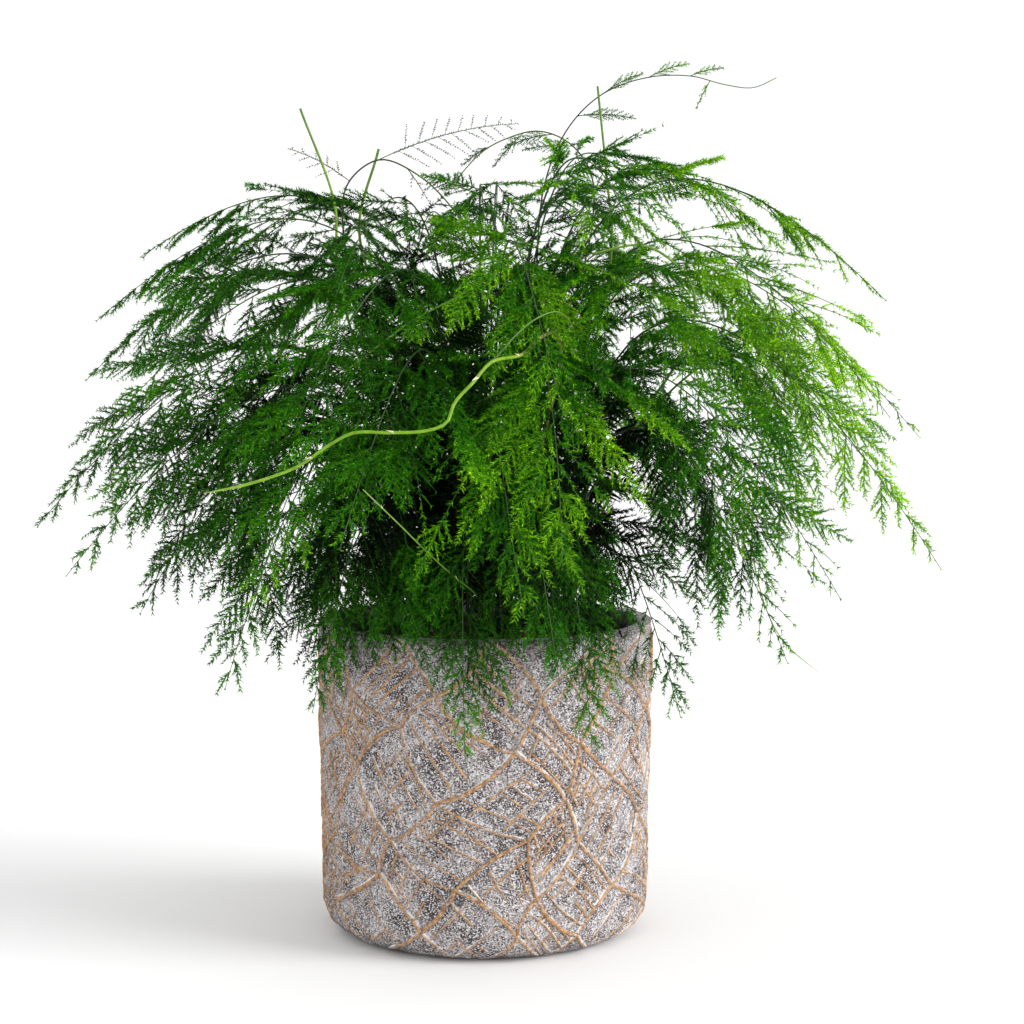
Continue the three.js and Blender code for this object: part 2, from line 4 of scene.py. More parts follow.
import bpy
import numpy as np
from mathutils.kdtree import KDTree
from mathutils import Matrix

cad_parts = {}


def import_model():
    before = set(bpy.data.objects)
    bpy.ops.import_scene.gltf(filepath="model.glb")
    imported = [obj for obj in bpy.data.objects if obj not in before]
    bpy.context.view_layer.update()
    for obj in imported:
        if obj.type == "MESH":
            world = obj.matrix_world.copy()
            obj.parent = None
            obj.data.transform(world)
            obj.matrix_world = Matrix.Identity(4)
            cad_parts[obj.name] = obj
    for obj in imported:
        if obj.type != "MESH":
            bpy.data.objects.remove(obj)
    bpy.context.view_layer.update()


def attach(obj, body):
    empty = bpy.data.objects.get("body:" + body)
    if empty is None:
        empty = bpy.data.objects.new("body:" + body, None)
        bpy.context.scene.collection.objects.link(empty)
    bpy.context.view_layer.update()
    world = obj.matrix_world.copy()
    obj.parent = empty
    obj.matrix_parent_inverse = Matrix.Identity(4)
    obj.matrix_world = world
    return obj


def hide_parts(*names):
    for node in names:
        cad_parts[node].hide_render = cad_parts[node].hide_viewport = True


# Sizes are in millimetres and become metres when a mesh is made.
MM = 0.001
UP = np.array([0.0, 0.0, 1.0])

# The pot: a cylinder with a rounded foot, and the net of ridges round it. A few of the net's edges are weak.
POT = {"rim": 100, "wall_foot": 97, "height": 187, "foot_round": 20, "inside": 91, "edge": 1.6, "flat": 0.93}
NET = {"columns": 11, "rows": 7, "shift": 0.3, "bulge": 0.13, "high": 1.8, "fade": 0.09,
       "few": 0.1, "weak": 0.72}
FOOT_ARC = math.pi / 2 * POT["foot_round"]
PROFILE = FOOT_ARC + POT["height"] - POT["foot_round"]
GIRTH = 2 * math.pi * POT["wall_foot"]
SHEET = np.array([GIRTH, PROFILE])
WALL_CELL = 4.6

# Inside the rim: the radius and how far below the rim. Painted shade darkens the rings the deeper they lie.
MOUTH = ((POT["rim"] - 0.3 * POT["edge"], 0.3), (POT["rim"] - POT["edge"], 0),
         (POT["inside"] + POT["edge"], 0), (POT["inside"] + 0.3, 0.4), (POT["inside"], POT["edge"]),
         (POT["inside"] - 0.2, 12),
         (POT["inside"] - 0.4, 26), (POT["inside"] - 0.6, 40))
# Painted shade inside the mouth: how far below the rim, and how much near black is mixed in there.
MOUTH_SHADE = ((0.3, 4, 14), (0.0, 0.7, 0.96))

# Across a ridge, from below it: place in half widths, height, how golden, and how dusty, where below 0 it is
# painted shade on the ridge's lower side. A ridge with more dust than "plain" has an apron of it on its upper
# side.
RIDGE = {
    "plain": 0.6,
    "bare": ((-1, -0.12, 0, -0.9), (-0.5, 0.74, 0.7, -0.4), (0, 1, 1, 0), (0.5, 0.74, 0.7, 0.1),
             (1, -0.12, 0, 0.5)),
    "apron": ((-1, -0.12, 0, -0.9), (-0.5, 0.74, 0.7, -0.4), (0, 1, 1, 0), (0.5, 0.74, 0.6, 0.2),
              (0.95, 0.22, 0, 1.25), (1.6, -0.12, 0, 0.3)),
}

# The least and the most of the net's edges, and of the fine ribs in its cells: height as a share of the most,
# half width, how golden, and how much is left at the ends.
EDGE = {"high": (0.75, 1), "half": (1.15, 1.55), "golden": (0.85, 1.15), "ends": (0.5, 1)}
RIB = {"high": (0.38, 0.68), "half": (0.66, 0.98), "golden": (0.65, 1.15), "ends": (0.3, 1), "stray": 0.05,
       "margin": 0.03}

# The soil, and where the stems come out of it.
SOIL_TOP = 166
SOIL_CROWN = 3
STEM_BASE = SOIL_TOP + 4
CHIPS = {"count": 420, "out": 86, "least": (1.5, 1, 0.4), "most": (5, 2.6, 1.1), "lift": 0.6}
BOX = ((0, 1, 3), (0, 3, 2), (4, 6, 7), (4, 7, 5), (0, 4, 5), (0, 5, 1), (2, 3, 7), (2, 7, 6), (0, 2, 6),
       (0, 6, 4), (1, 5, 7), (1, 7, 3))

# How far foliage stays clear of the pot and the soil.
CLEAR = {"inside": 2, "outside": 1.5, "rim": 1, "soil": 2}

# A frond: its stem, the feathers on both sides of it, the fingers on those, and the needles on both.
STEM = {"foot": 0.95, "tip": 0.2, "whip": 0.13, "rings": 44, "sides": 6}
FEATHER = {"base": 56, "end": 34, "cup": 10, "droop": 0.2, "sweep": 0.14, "pitch": 8.8, "every": 2,
           "minor": 0.86, "major": 1.2, "root": 0.42, "tip": 0.15, "tilt": 0.24, "stray": 0.14,
           "steepest": 0.28, "uneven": 0.2, "turn": 14}
INNER = {"start": 0.1, "short": 0.8}
FINGER = {"pitch": 2.1, "share": 0.42, "power": 0.85, "most": 12.5, "least": 1.8, "angle": 46, "core": 0.6,
          "inner": 2.0, "droop": 0.1, "sweep": 0.3, "stray": 0.16}
NEEDLE = {"length": 3.7, "width": 0.72, "pitch": 1.12, "each": 4, "angle": 44, "flat": 0.75}
BRUSH = {"pitch": 1.15, "each": 5, "length": 4.4}

# The bush as a whole: its middle and how far it reaches, and where the shade inside it begins.
BUSH = {"middle": (0, 0, 290), "reach": (270, 200, 210), "shade": 0.34}

# What sets how light needles are: how far out they are past an edge, as painted light outside it and painted
# shade deep inside; how far to the right, as painted light; and a painted pool of light round a place at the
# front.
# Near the top they are duller, and in the pot's mouth painted shade darkens them.
FRESHNESS_AND_PAINTED_LIGHT = {"middle": (30, -110, 365), "reach": (110, 110, 60), "edge": 0.78, "out": 0.95, "right": 0.2,
         "front": 0.03, "top": -0.22, "mouth": -0.4}

# The bush's clumps. Between them most fingers and many needles are missing: more so to the right and high up,
# most of all high up at the left, and less so low down.
CLUMP = {"size": 58, "left": -1.15, "right": 0.12, "high": 0.6, "high_left": 1.7, "high_right": 0.6,
         "low": -0.4, "soft": 0.2, "inside": 0.5, "bare": 0.95, "thin": 0.55, "tone": 0.09}

# The fronds, tier by tier: how far out their feet stand, where their leafy part begins, how far they lean and
# how dense they are. ROW names what each row gives: degrees, and millimetres from the pot's middle and foot.
TIERS = {
    "crown": {"foot": 15, "leafy": 0.44, "lean": 8, "dense": 0.92, "rows": [
        (174, 206, 404, 430, 46, -8, 4), (197, 228, 366, 420, 46, 10, -6), (158, 170, 398, 428, 48, 6, 8),
        (121, 118, 394, 424, 48, -6, -8), (82, 120, 412, 442, 50, 2, 6), (29, 124, 428, 456, 50, -6, 4),
        (12, 180, 412, 450, 50, 8, 5), (-12, 236, 378, 444, 50, -8, 5), (-45, 146, 396, 452, 52, 2, -8),
        (-95, 92, 394, 436, 50, -4, 8), (-133, 134, 380, 430, 52, 8, 6), (60, 192, 400, 438, 50, -6, 4),
    ]},
    "shoulder": {"foot": 28, "leafy": 0.43, "lean": 46, "dense": 1.0, "rows": [
        (168, 244, 330, 404, 52, 8, 6), (213, 226, 316, 388, 54, -10, -6), (-118, 176, 304, 394, 58, 8, -8),
        (-81, 150, 316, 410, 58, -8, 8), (-51, 196, 298, 394, 56, 10, 4), (-22, 242, 312, 412, 54, -8, 4),
        (8, 262, 296, 400, 54, 8, -6), (45, 230, 330, 408, 54, -8, 6), (90, 192, 322, 396, 56, 8, -6),
        (131, 214, 330, 402, 54, -6, 6),
    ]},
    "skirt": {"foot": 42, "leafy": 0.41, "lean": 58, "dense": 1.06, "rows": [
        (185, 264, 246, 350, 52, 6, 3), (203, 250, 222, 328, 52, -8, -4), (231, 212, 212, 342, 56, 10, 4),
        (-110, 184, 246, 350, 60, -6, -4), (-89, 186, 212, 324, 58, 8, 6), (-70, 178, 236, 352, 58, -8, -6),
        (-36, 232, 214, 338, 56, 8, 4), (-7, 270, 222, 366, 54, -8, -3), (19, 276, 262, 354, 52, 8, 3),
        (57, 240, 226, 344, 56, -8, 4), (102, 214, 222, 338, 58, 8, -4), (144, 240, 230, 348, 56, -8, 4),
    ]},
    "low": {"foot": 54, "leafy": 0.38, "lean": 62, "dense": 1.3, "rows": [
        (216, 188, 164, 300, 64, 8, 5), (189, 206, 192, 308, 60, -8, -5), (-128, 160, 170, 284, 60, 8, 5),
        (-78, 152, 172, 290, 56, -8, 4), (-24, 196, 174, 302, 62, -8, -5), (22, 206, 190, 308, 60, 8, 5),
        (78, 180, 172, 292, 58, -8, -5), (124, 188, 174, 298, 60, 8, 5),
    ]},
    "rim": {"foot": 64, "leafy": 0.34, "lean": 50, "dense": 1.4, "rows": [
        (-98, 134, 126, 248, 42, 6, 4), (-60, 138, 130, 250, 42, -6, -4), (-140, 134, 146, 250, 46, -6, 4),
        (-38, 136, 140, 250, 46, 6, 4), (98, 134, 140, 248, 44, 6, 4),
    ]},
}
ROW = ("heading", "reach", "tip", "arch", "half", "roll", "twist")

# Stems that stand alone: foot, radius at foot and tip, course, and shoots with their share, length and way.
# Pale bracts sit at some shares of a stem. A stem with a point ends like a spear, the others bluntly.
LONE_STEMS = {
    "stem_winding": {"foot": (8, -22), "radius": (1.2, 0.8), "skin": "winding", "point": True,
                     "bracts": (0.39, 0.5, 0.55, 0.63, 0.76, 0.86), "course": [
        (20, -34, 240), (36, -62, 306), (44, -82, 346), (41, -96, 359), (32, -112, 357), (22, -130, 348),
        (5, -154, 344), (-4, -164, 334), (-14, -171, 323), (-18, -176, 313), (-28, -179, 309),
        (-48, -181, 308), (-66, -181, 308), (-80, -178, 301), (-96, -172, 290), (-123, -162, 280),
        (-149, -150, 274),
    ]},
    "stem_cut_tall": {"foot": (-21, -4), "radius": (1.0, 0.75), "skin": "cut", "course": [
        (-40, -9, 260), (-76, -11, 350), (-87, -13, 400), (-88, -13, 434), (-108, -13, 490),
    ]},
    "stem_cut_short": {"foot": (-18, 10), "radius": (1.0, 0.85), "skin": "cut", "course": [
        (-30, 17, 260), (-58, 21, 360), (-76, 22, 420), (-64, 22, 469),
    ]},
    "stem_cut_right": {"foot": (19, 9), "radius": (0.9, 0.7), "skin": "cut", "course": [
        (36, 16, 260), (66, 26, 350), (77, 29, 412), (74, 29, 450), (68, 29, 507),
    ]},
    "spray_arch_sparse": {"foot": (-21, 2), "radius": (0.8, 0.45), "skin": "dark",
                          "tufts": "open", "course": [
        (-36, 0, 260), (-70, -2, 360), (-84, -2, 420), (-81, -2, 447), (-62, -2, 461), (-38, -2, 451),
        (-18, -2, 431), (-4, -2, 408),
    ], "shoots": [(0.74, 46, (-0.8, 0, 0.62)), (0.79, 92, (0.9, 0, 0.43)), (0.84, 24, (0.6, -0.2, -0.75))]},
    "spray_tall_arch": {"foot": (4, 21), "radius": (0.8, 0.3), "skin": "dark", "tufts": "plume", "course": [
        (16, 30, 260), (30, 38, 380), (36, 38, 448), (50, 38, 482), (71, 38, 503), (98, 38, 513),
        (125, 38, 514), (145, 38, 509), (163, 38, 507), (177, 38, 513),
    ], "shoots": [(0.72, 36, (0.94, -0.1, 0.14)), (0.76, 30, (0.8, 0, 0.6)), (0.83, 28, (0.9, 0, 0.5)),
                  (0.885, 22, (0.9, -0.1, 0.4)), (0.905, 16, (-0.5, 0, -0.8))]},
    "spray_nodding": {"foot": (13, 17), "radius": (0.9, 0.35), "skin": "dark", "tufts": "plume", "course": [
        (24, 20, 260), (50, 24, 360), (65, 24, 426), (64, 22, 454), (51, 18, 472), (32, 14, 479),
        (12, 12, 474), (-2, 10, 466), (-17, 8, 450),
    ], "shoots": [(0.79, 34, (-0.9, -0.4, 0.1)), (0.83, 34, (-0.8, 0.5, 0)), (0.87, 26, (-0.7, -0.3, -0.6)),
                  (0.93, 22, (-0.8, 0.5, -0.3))]},
    "stem_arch_right": {"foot": (34, -8), "radius": (1.1, 0.7), "skin": "young", "course": [
        (50, -14, 240), (92, -30, 310), (118, -44, 354), (121, -50, 382), (108, -54, 400), (90, -56, 409),
        (62, -56, 404),
    ]},
    "stem_trailing": {"foot": (46, 4), "radius": (0.9, 0.3), "skin": "young", "tufts": "plume", "point": True,
                      "course": [
        (66, -2, 240), (108, -14, 322), (144, -28, 344), (164, -34, 318), (160, -36, 276), (157, -36, 237),
        (164, -36, 202), (176, -34, 178), (201, -30, 156),
    ], "shoots": [(0.53, 28, (0.7, -0.3, -0.4)), (0.6, 22, (-0.6, 0.2, -0.6))]},
}

# Thin young shoots that run over the foliage, from a place inside it.
YOUNG_SHOOTS = [
    {"radius": (0.6, 0.3), "course": [
        (4, -154, 344), (8, -148, 347), (17, -140, 357), (29, -128, 367), (41, -116, 371), (48, -107, 366),
        (53, -98, 356),
    ]},
    {"radius": (0.7, 0.45), "bracts": (0.32, 0.7), "course": [
        (30, -18, 384), (1, -60, 387), (-17, -80, 378), (-41, -96, 365), (-54, -104, 355), (-76, -110, 338),
    ]},
    {"radius": (0.55, 0.3), "bracts": (0.52, 0.93), "course": [
        (12, -62, 166), (5, -84, 195), (-3, -104, 213), (-16, -128, 227), (-31, -150, 244), (-44, -165, 259),
        (-62, -176, 278),
    ]},
]

# The side twigs of a shoot: their spacing, how they lean along it, their share of it above and below, the
# longest, and their needles.
TUFTS = {
    "open": {"pitch": 4.2, "along": 0.8, "above": 0.2, "below": 0.3, "most": 20, "step": 1.4, "each": 5,
             "needle": 2.2, "width": 0.5, "tone": 0.22},
    "plume": {"pitch": 2.0, "along": 2.2, "above": 0.3, "below": 0.34, "most": 11, "step": 1.0, "each": 6,
              "needle": 2.3, "width": 0.5, "tone": 0.4},
}
FACING = (0.0, 1.0, 0.35)

# Stem colours, as shares of the way up and what shows on a screen.
STEM_SKINS = {
    "twig": ((0.0, (46, 44, 22)), (0.35, (30, 60, 14)), (1.0, (56, 100, 22))),
    "dark": ((0.0, (40, 38, 22)), (0.75, (52, 54, 34)), (1.0, (92, 122, 44))),
    "cut": ((0.0, (44, 58, 20)), (0.62, (96, 136, 34)), (0.82, (128, 166, 44)), (1.0, (84, 132, 40))),
    "young": ((0.0, (50, 72, 22)), (0.5, (84, 132, 36)), (1.0, (132, 172, 66))),
    "winding": ((0.0, (70, 84, 34)), (0.4, (140, 138, 74)), (0.53, (158, 160, 88)), (0.56, (120, 162, 14)),
                (0.8, (116, 164, 14)), (1.0, (146, 190, 48))),
}
# Needle colours by tone: from near black, the painted shade deep in the bush, to yellow-green.
NEEDLE_SKIN = ((0.0, (2, 20, 0)), (0.45, (52, 130, 0)), (1.0, (156, 218, 20)))

# The tone each slot's fronds start from, and which fronds are the bright ones. The bright fronds at the front
# and right are painted light, and the deep fronds low down are painted shade.
FOLIAGE_TONES = {"foliage": 0.4, "foliage_bright": 0.58, "foliage_deep": 0.26}
BRIGHT_FRONDS = {"crown": (8, 9, 10), "shoulder": (4, 6, 7), "skirt": (6, 8, 9)}

# The view, with places in metres, and the light: how strong it is, how soft, and where from.
CAMERA = {"place": (0.0163, -1.4, 0.3689), "down": 4.8, "lens": 82.2, "sensor": 36, "far": 100}
LIGHT = {"surround": 0.95, "backdrop": 1.1, "sun": 2.4, "softness": 34, "high": 67, "turn": 74}
FLOOR = {"wide": 30000, "below": 0.2}


def shade(red, green, blue):
    """A colour given as it shows on a screen, from 0 to 255, made linear."""
    parts = [value / 255 for value in (red, green, blue)]
    return tuple(p / 12.92 if p <= 0.04045 else ((p + 0.055) / 1.055) ** 2.4 for p in parts) + (1.0,)


def mix(a, b, share):
    return a + (b - a) * share


def climb(values, start, width):
    """How far values are above a start: 0 up to there, and 1 from a width further on."""
    return np.clip((values - start) / width, 0, 1)


def fall(values, start, width):
    """How far values are below a start, in the same way."""
    return np.clip((start - values) / width, 0, 1)


def unit(vectors):
    return vectors / np.maximum(np.linalg.norm(vectors, axis=-1, keepdims=True), 1e-9)


def column(values):
    return np.asarray(values, float)[..., None]


def square_to(vectors, ways):
    """Vectors made square to some ways, and one long."""
    return unit(vectors - ways * column((vectors * ways).sum(-1)))


def swung(first, second, angle):
    """The first vectors swung towards the second, which they reach at a right angle."""
    return first * column(np.cos(angle)) + second * column(np.sin(angle))


def turned(vectors, axis, angle):
    """Vectors square to an axis, turned about it."""
    return swung(vectors, np.cross(axis, vectors), angle)


def polar(out, angle, high):
    """Places from how far out they are, their angle and their height."""
    return np.stack(np.broadcast_arrays(out * np.cos(angle), out * np.sin(angle), high), -1)


def draw(a, b=0, c=0):
    """A repeatable draw from 0 to 1, the same as in the frame."""
    value = np.sin(a * 12.9898 + b * 78.233 + c * 37.719) * 43758.5453
    return value - np.floor(value)


def spread(a, b=0, c=0):
    return 2 * draw(a, b, c) - 1


def wave(places, size, seed):
    """A smooth, repeatable unevenness through space, mostly from -1 to 1."""
    rng = np.random.default_rng(seed)
    total = np.zeros(places.shape[:-1])
    for _ in range(9):
        way = unit(rng.normal(0, 1, 3))
        total += np.sin((places @ way) * 2 * math.pi / (size * rng.uniform(0.7, 1.5)) + rng.uniform(0, 7))
    return total / 4


def bezier(a, b, c, d, t):
    s = 1 - t
    return a * s**3 + 3 * b * s * s * t + 3 * c * s * t * t + d * t**3


def ring_faces(rings, around):
    """The faces between rings of corners that are stored one after another."""
    low = np.arange((rings - 1) * around)
    following = low - low % around + (low + 1) % around
    return np.concatenate([np.stack([low, following, following + around], 1),
                           np.stack([low, following + around, low + around], 1)])


def fan(centre, ring):
    """The faces from one corner to a ring of corners."""
    return np.stack([np.full(len(ring), centre), ring, np.roll(ring, -1)], 1)


def repeated(faces, count):
    """The faces of many copies of a small form, whose corners are stored kind by kind."""
    return np.asarray(faces)[:, None, :] * count + np.arange(count)[None, :, None]


def linked(name, data):
    """A new object in the scene."""
    thing = bpy.data.objects.new(name, data)
    bpy.context.scene.collection.objects.link(thing)
    return thing


class Skin:
    """The faces that become one mesh, each with its finish, and values kept at the corners."""

    def __init__(self, *values):
        self.names = values
        self.places, self.faces, self.finish, self.smooth = [], [], [], []
        self.values = {name: [] for name in values}
        self.count = 0

    def add(self, places, faces, finish=0, smooth=False, **values):
        places = np.asarray(places, float).reshape(-1, 3)
        faces = np.asarray(faces, np.int64).reshape(-1, 3)
        self.places.append(places)
        self.faces.append(faces + self.count)
        self.finish.append(np.full(len(faces), finish))
        self.smooth.append(np.full(len(faces), smooth))
        for name in self.names:
            value = np.broadcast_to(np.asarray(values.get(name, 0.0), float), len(places))
            self.values[name].append(value)
        self.count += len(places)

    def build(self, name, materials):
        places = np.concatenate(self.places) * MM
        faces = np.concatenate(self.faces)
        mesh = bpy.data.meshes.new(name)
        mesh.vertices.add(len(places))
        mesh.vertices.foreach_set("co", places.astype(np.float32).ravel())
        mesh.loops.add(faces.size)
        mesh.loops.foreach_set("vertex_index", faces.astype(np.int32).ravel())
        mesh.polygons.add(len(faces))
        mesh.polygons.foreach_set("loop_start", np.arange(0, faces.size, 3, dtype=np.int32))
        mesh.polygons.foreach_set("material_index", np.concatenate(self.finish).astype(np.int32))
        mesh.polygons.foreach_set("use_smooth", np.concatenate(self.smooth))
        for key in self.names:
            layer = mesh.attributes.new(key, "FLOAT", "POINT")
            layer.data.foreach_set("value", np.concatenate(self.values[key]).astype(np.float32))
        for material in materials:
            mesh.materials.append(material)
        mesh.update(calc_edges=True)
        mesh.validate()
        return linked(name, mesh)


def stations(lengths, start, stop, pitch):
    """Evenly spaced stations along many lines: the line's number, the count along it, and its share."""
    counts = np.maximum(0, (stop - start) * lengths / pitch).astype(int)
    owner = np.repeat(np.arange(len(lengths)), counts)
    step = np.arange(len(owner)) - np.repeat(np.cumsum(counts) - counts, counts)
    return owner, step, start + (stop - start) * (step + 0.5) / np.maximum(counts[owner], 1)


def tube(skin, line, radii, sides, tone):
    """A stem's round skin along one line, closed at both ends, with a tone for each ring."""
    line = np.asarray(line, float)
    along = unit(np.gradient(line, axis=0))
    side = unit(np.cross(along[0], [0.3, 1.0, 0.2]))
    rings = []
    for place, way, radius in zip(line, along, radii):
        side = square_to(side, way)
        around = np.arange(sides) * 2 * math.pi / sides
        rings.append(place + radius * swung(side, np.cross(way, side), around))
    places = np.concatenate([*rings, line[:1], line[-1:]])
    ring = np.arange(sides)
    ends = [fan(len(places) - 2, ring[::-1]), fan(len(places) - 1, ring + (len(line) - 1) * sides)]
    skin.add(places, np.concatenate([ring_faces(len(line), sides), *ends]), finish=1, smooth=True,
             tone=np.append(np.repeat(tone, sides), [tone[0], tone[-1]]))


def in_pot(places):
    """Whether a place lies in the pot's wall or in the soil."""
    out = np.hypot(places[..., 0], places[..., 1])
    wall = (out > POT["inside"] - CLEAR["inside"]) & (out < POT["rim"] + CLEAR["outside"])
    wall &= places[..., 2] < POT["height"] + CLEAR["rim"]
    return wall | ((out < POT["rim"]) & (places[..., 2] < SOIL_TOP + CLEAR["soil"]))


class Frond:
    """One frond's shape: its stem's arch, and the feathers that grow from both sides of it."""

    def __init__(self, tier, row, seed):
        names = "foot", "leafy", "lean", "dense"
        self.foot, self.leafy, self.lean, self.dense = (tier[name] for name in names)
        for name, value in zip(ROW, row):
            setattr(self, name, value)
        self.rng = np.random.default_rng(seed)
        self.seed = seed

    def point(self, t):
        """Places on the stem, whose middle is at the arch's height."""
        turn = np.radians(self.heading + self.twist * t * t)
        span = self.reach - self.foot
        out = bezier(self.foot, self.foot + 0.06 * span, self.foot + 0.58 * span, self.reach, t)
        arm = (self.arch - 0.125 * STEM_BASE - 0.125 * self.tip) / 0.75
        lean = 0.25 * (arm - self.tip)
        high = bezier(STEM_BASE, arm + lean, arm - lean, self.tip, t)
        return polar(out, turn, high)

    def frame(self, t):
        """The stem's places, and there its way, its leafy side and the way that its spray faces."""
        along = unit(self.point(np.minimum(1, t + 0.004)) - self.point(np.maximum(0, t - 0.004)))
        turn = np.radians(self.heading + self.twist * t * t)
        side = np.stack([-np.sin(turn), np.cos(turn), 0 * turn], -1)
        side = square_to(side, along)
        roll = self.roll + self.lean * math.cos(math.radians(self.heading))
        side = turned(side, along, math.radians(roll) * np.minimum(1, 1.4 * t))
        return self.point(t), along, side, np.cross(along, side)

    def feathers(self):
        """Where each feather starts, its ways and its length."""
        fine = np.linspace(0, 1, 60)
        run = np.append(0, np.cumsum(np.linalg.norm(np.diff(self.point(fine), axis=0), axis=1)))
        first, last = np.interp((INNER["start"] * self.leafy, 0.985), fine, run)
        count = int((last - first) * self.dense / FEATHER["pitch"])
        number = np.arange(count)
        major = number % (2 * FEATHER["every"]) < 2
        t = np.interp(first + (last - first) * (number + 0.5) / count, run, fine)
        hand = np.where(number % 2 == 0, 1.0, -1.0)
        at, along, side, normal = self.frame(t)
        inner = fall(t, self.leafy, self.leafy * (1 - INNER["start"]))
        u = climb(t, self.leafy, 1 - STEM["whip"] - self.leafy)
        outer = np.clip((1 - t) / STEM["whip"], 0.12, 1)
        angle = np.radians(mix(FEATHER["base"], FEATHER["end"], u))
        cup = math.radians(FEATHER["cup"])
        out = side * column(hand * math.cos(cup)) - normal * math.sin(cup)
        key = self.seed + 3.7 * number
        tilt, stray = FEATHER["tilt"] * spread(key, u, 9), FEATHER["stray"] * spread(key, u, 13)
        way = unit(swung(along, out, angle) + normal * column(tilt) + along * column(stray))
        way[:, 2] = np.minimum(way[:, 2], FEATHER["steepest"])
        way = unit(way)
        broad = np.where(u < 0.2, 0.62 + 1.9 * u, 1 - 0.8 * (np.maximum(u - 0.2, 0) / 0.8) ** 1.2)
        broad = broad * mix(1, INNER["short"], inner) * outer ** 0.6
        broad = broad * np.where(major, FEATHER["major"], FEATHER["minor"])
        length = self.half * broad / np.sin(angle) * (1 + FEATHER["uneven"] * spread(key, u, 10))
        bend = along * FEATHER["sweep"] - UP * column(FEATHER["droop"] * (1 + 0.7 * spread(key, u, 14)))
        normal = turned(square_to(normal, way), way, np.radians(FEATHER["turn"] * spread(key, u, 12)))
        return {"at": at, "way": way, "bend": bend, "normal": normal, "length": length}


def axis_point(axes, owner, share):
    """Places on bent axes, and the way they run there."""
    at, way, bend = (axes[name][owner] for name in ("at", "way", "bend"))
    length = column(axes["length"][owner])
    share = column(share)
    return at + length * (way * share + bend * share * share), unit(way + 2 * bend * share)


def offshoots(axes, reach, rule, rng):
    """The next finer axes, on both sides of the ones given, in their plane."""
    owner, step, share = stations(axes["length"], 0.08, 0.93, rule["pitch"])
    keep = share < reach[owner]
    owner, step, share = owner[keep], step[keep], share[keep]
    count = len(owner)
    at, ways = axis_point(axes, owner, share)
    normal = square_to(axes["normal"][owner], ways)
    across = np.cross(normal, ways) * column(np.where(step % 2 == 0, 1.0, -1.0))
    way = swung(ways, across, np.radians(rule["angle"] + rng.normal(0, 6, count)))
    way = unit(way + normal * column(rng.normal(0, rule["stray"], count)))
    rise = np.minimum(1, 0.5 + share * 2.5)
    length = rule["share"] * axes["length"][owner] * (1 - share) ** rule["power"] * rise
    length = np.minimum(length, rule["most"]) * rng.uniform(0.7, 1.2, count)
    bend = ways * rule["sweep"] - UP * rule["droop"]
    normal = square_to(normal, way)
    keep = (length > rule["least"]) & ~in_pot(at + way * column(length))
    parts = {"at": at, "way": way, "bend": bend, "normal": normal, "length": length, "owner": owner}
    return {name: part[keep] for name, part in parts.items()}


def feather_cores(skin, feathers, reach):
    """Three-sided cores along the feathers, down to a point."""
    steps, sides = 5, 3
    owner = np.arange(len(reach))
    rings = []
    for step in range(steps):
        place, way = axis_point(feathers, owner, step / steps * reach)
        side = unit(np.cross(feathers["normal"], way))
        radius = mix(FEATHER["root"], FEATHER["tip"], step / steps)
        for k in range(sides):
            rings.append(place + radius * swung(side, np.cross(way, side), 2 * math.pi * k / sides))
    rings.append(axis_point(feathers, owner, reach)[0])
    last = np.arange(sides) + (steps - 1) * sides
    faces = np.concatenate([ring_faces(steps, sides), fan(steps * sides, last)])
    skin.add(np.concatenate(rings), repeated(faces, len(reach)), finish=1, smooth=True, tone=0.8)


def twig_cores(skin, twigs, radius):
    """A three-sided spike along each twig."""
    owner = np.arange(len(twigs["length"]))
    tips = axis_point(twigs, owner, np.ones(len(owner)))[0]
    other = np.cross(twigs["way"], twigs["normal"])
    rings = [twigs["at"] + radius * swung(twigs["normal"], other, 2.1 * k) for k in range(3)]
    faces = repeated(((0, 1, 3), (1, 2, 3), (2, 0, 3)), len(owner))
    skin.add(np.concatenate([*rings, tips]), faces, finish=1, smooth=True, tone=0.95)


def finger_cores(skin, fingers, tone):
    """A flat, pointed core of needle bases along each finger, with a narrower one square to it."""
    owner = np.arange(len(fingers["length"]))
    shares = 0.0, 0.35, 1.0
    root, middle, tip = (axis_point(fingers, owner, np.full(len(owner), share))[0] for share in shares)
    across = np.cross(fingers["normal"], fingers["way"])
    half = FINGER["core"] * np.minimum(1, fingers["length"] / 6)
    lit = BUSH["shade"], BUSH["shade"] + 0.2
    half = column(half * np.interp(outness(middle), lit, (FINGER["inner"], 1)))
    wide, deep = across * half, fingers["normal"] * half * 0.6
    places = np.concatenate([root, tip, middle + wide, middle - wide, middle + deep, middle - deep])
    tones = [freshness_and_painted_light(part, tone) + more for part, more in ((root, -0.12), (tip, 0.08), (middle, -0.04))]
    skin.add(places, repeated(((0, 2, 3), (2, 1, 3), (0, 4, 5), (4, 1, 5)), len(owner)),
             tone=np.concatenate([*tones, *tones[2:] * 3]))


def needle_blades(skin, roots, ways, lengths, rolls, width, tone):
    """A needle each: a slim blade, widest at its root, that tapers to a point."""
    first = unit(np.cross(ways, np.where(np.abs(ways[:, 2:]) < 0.9, UP, [1.0, 0.0, 0.0])))
    side = swung(first, np.cross(ways, first), rolls) * width / 2
    tips = roots + ways * column(lengths) - UP * column(0.03 * lengths)
    places = np.concatenate([roots + side, roots - side, tips])
    skin.add(places, repeated(((0, 1, 2),), len(roots)), tone=np.tile(tone, 3))


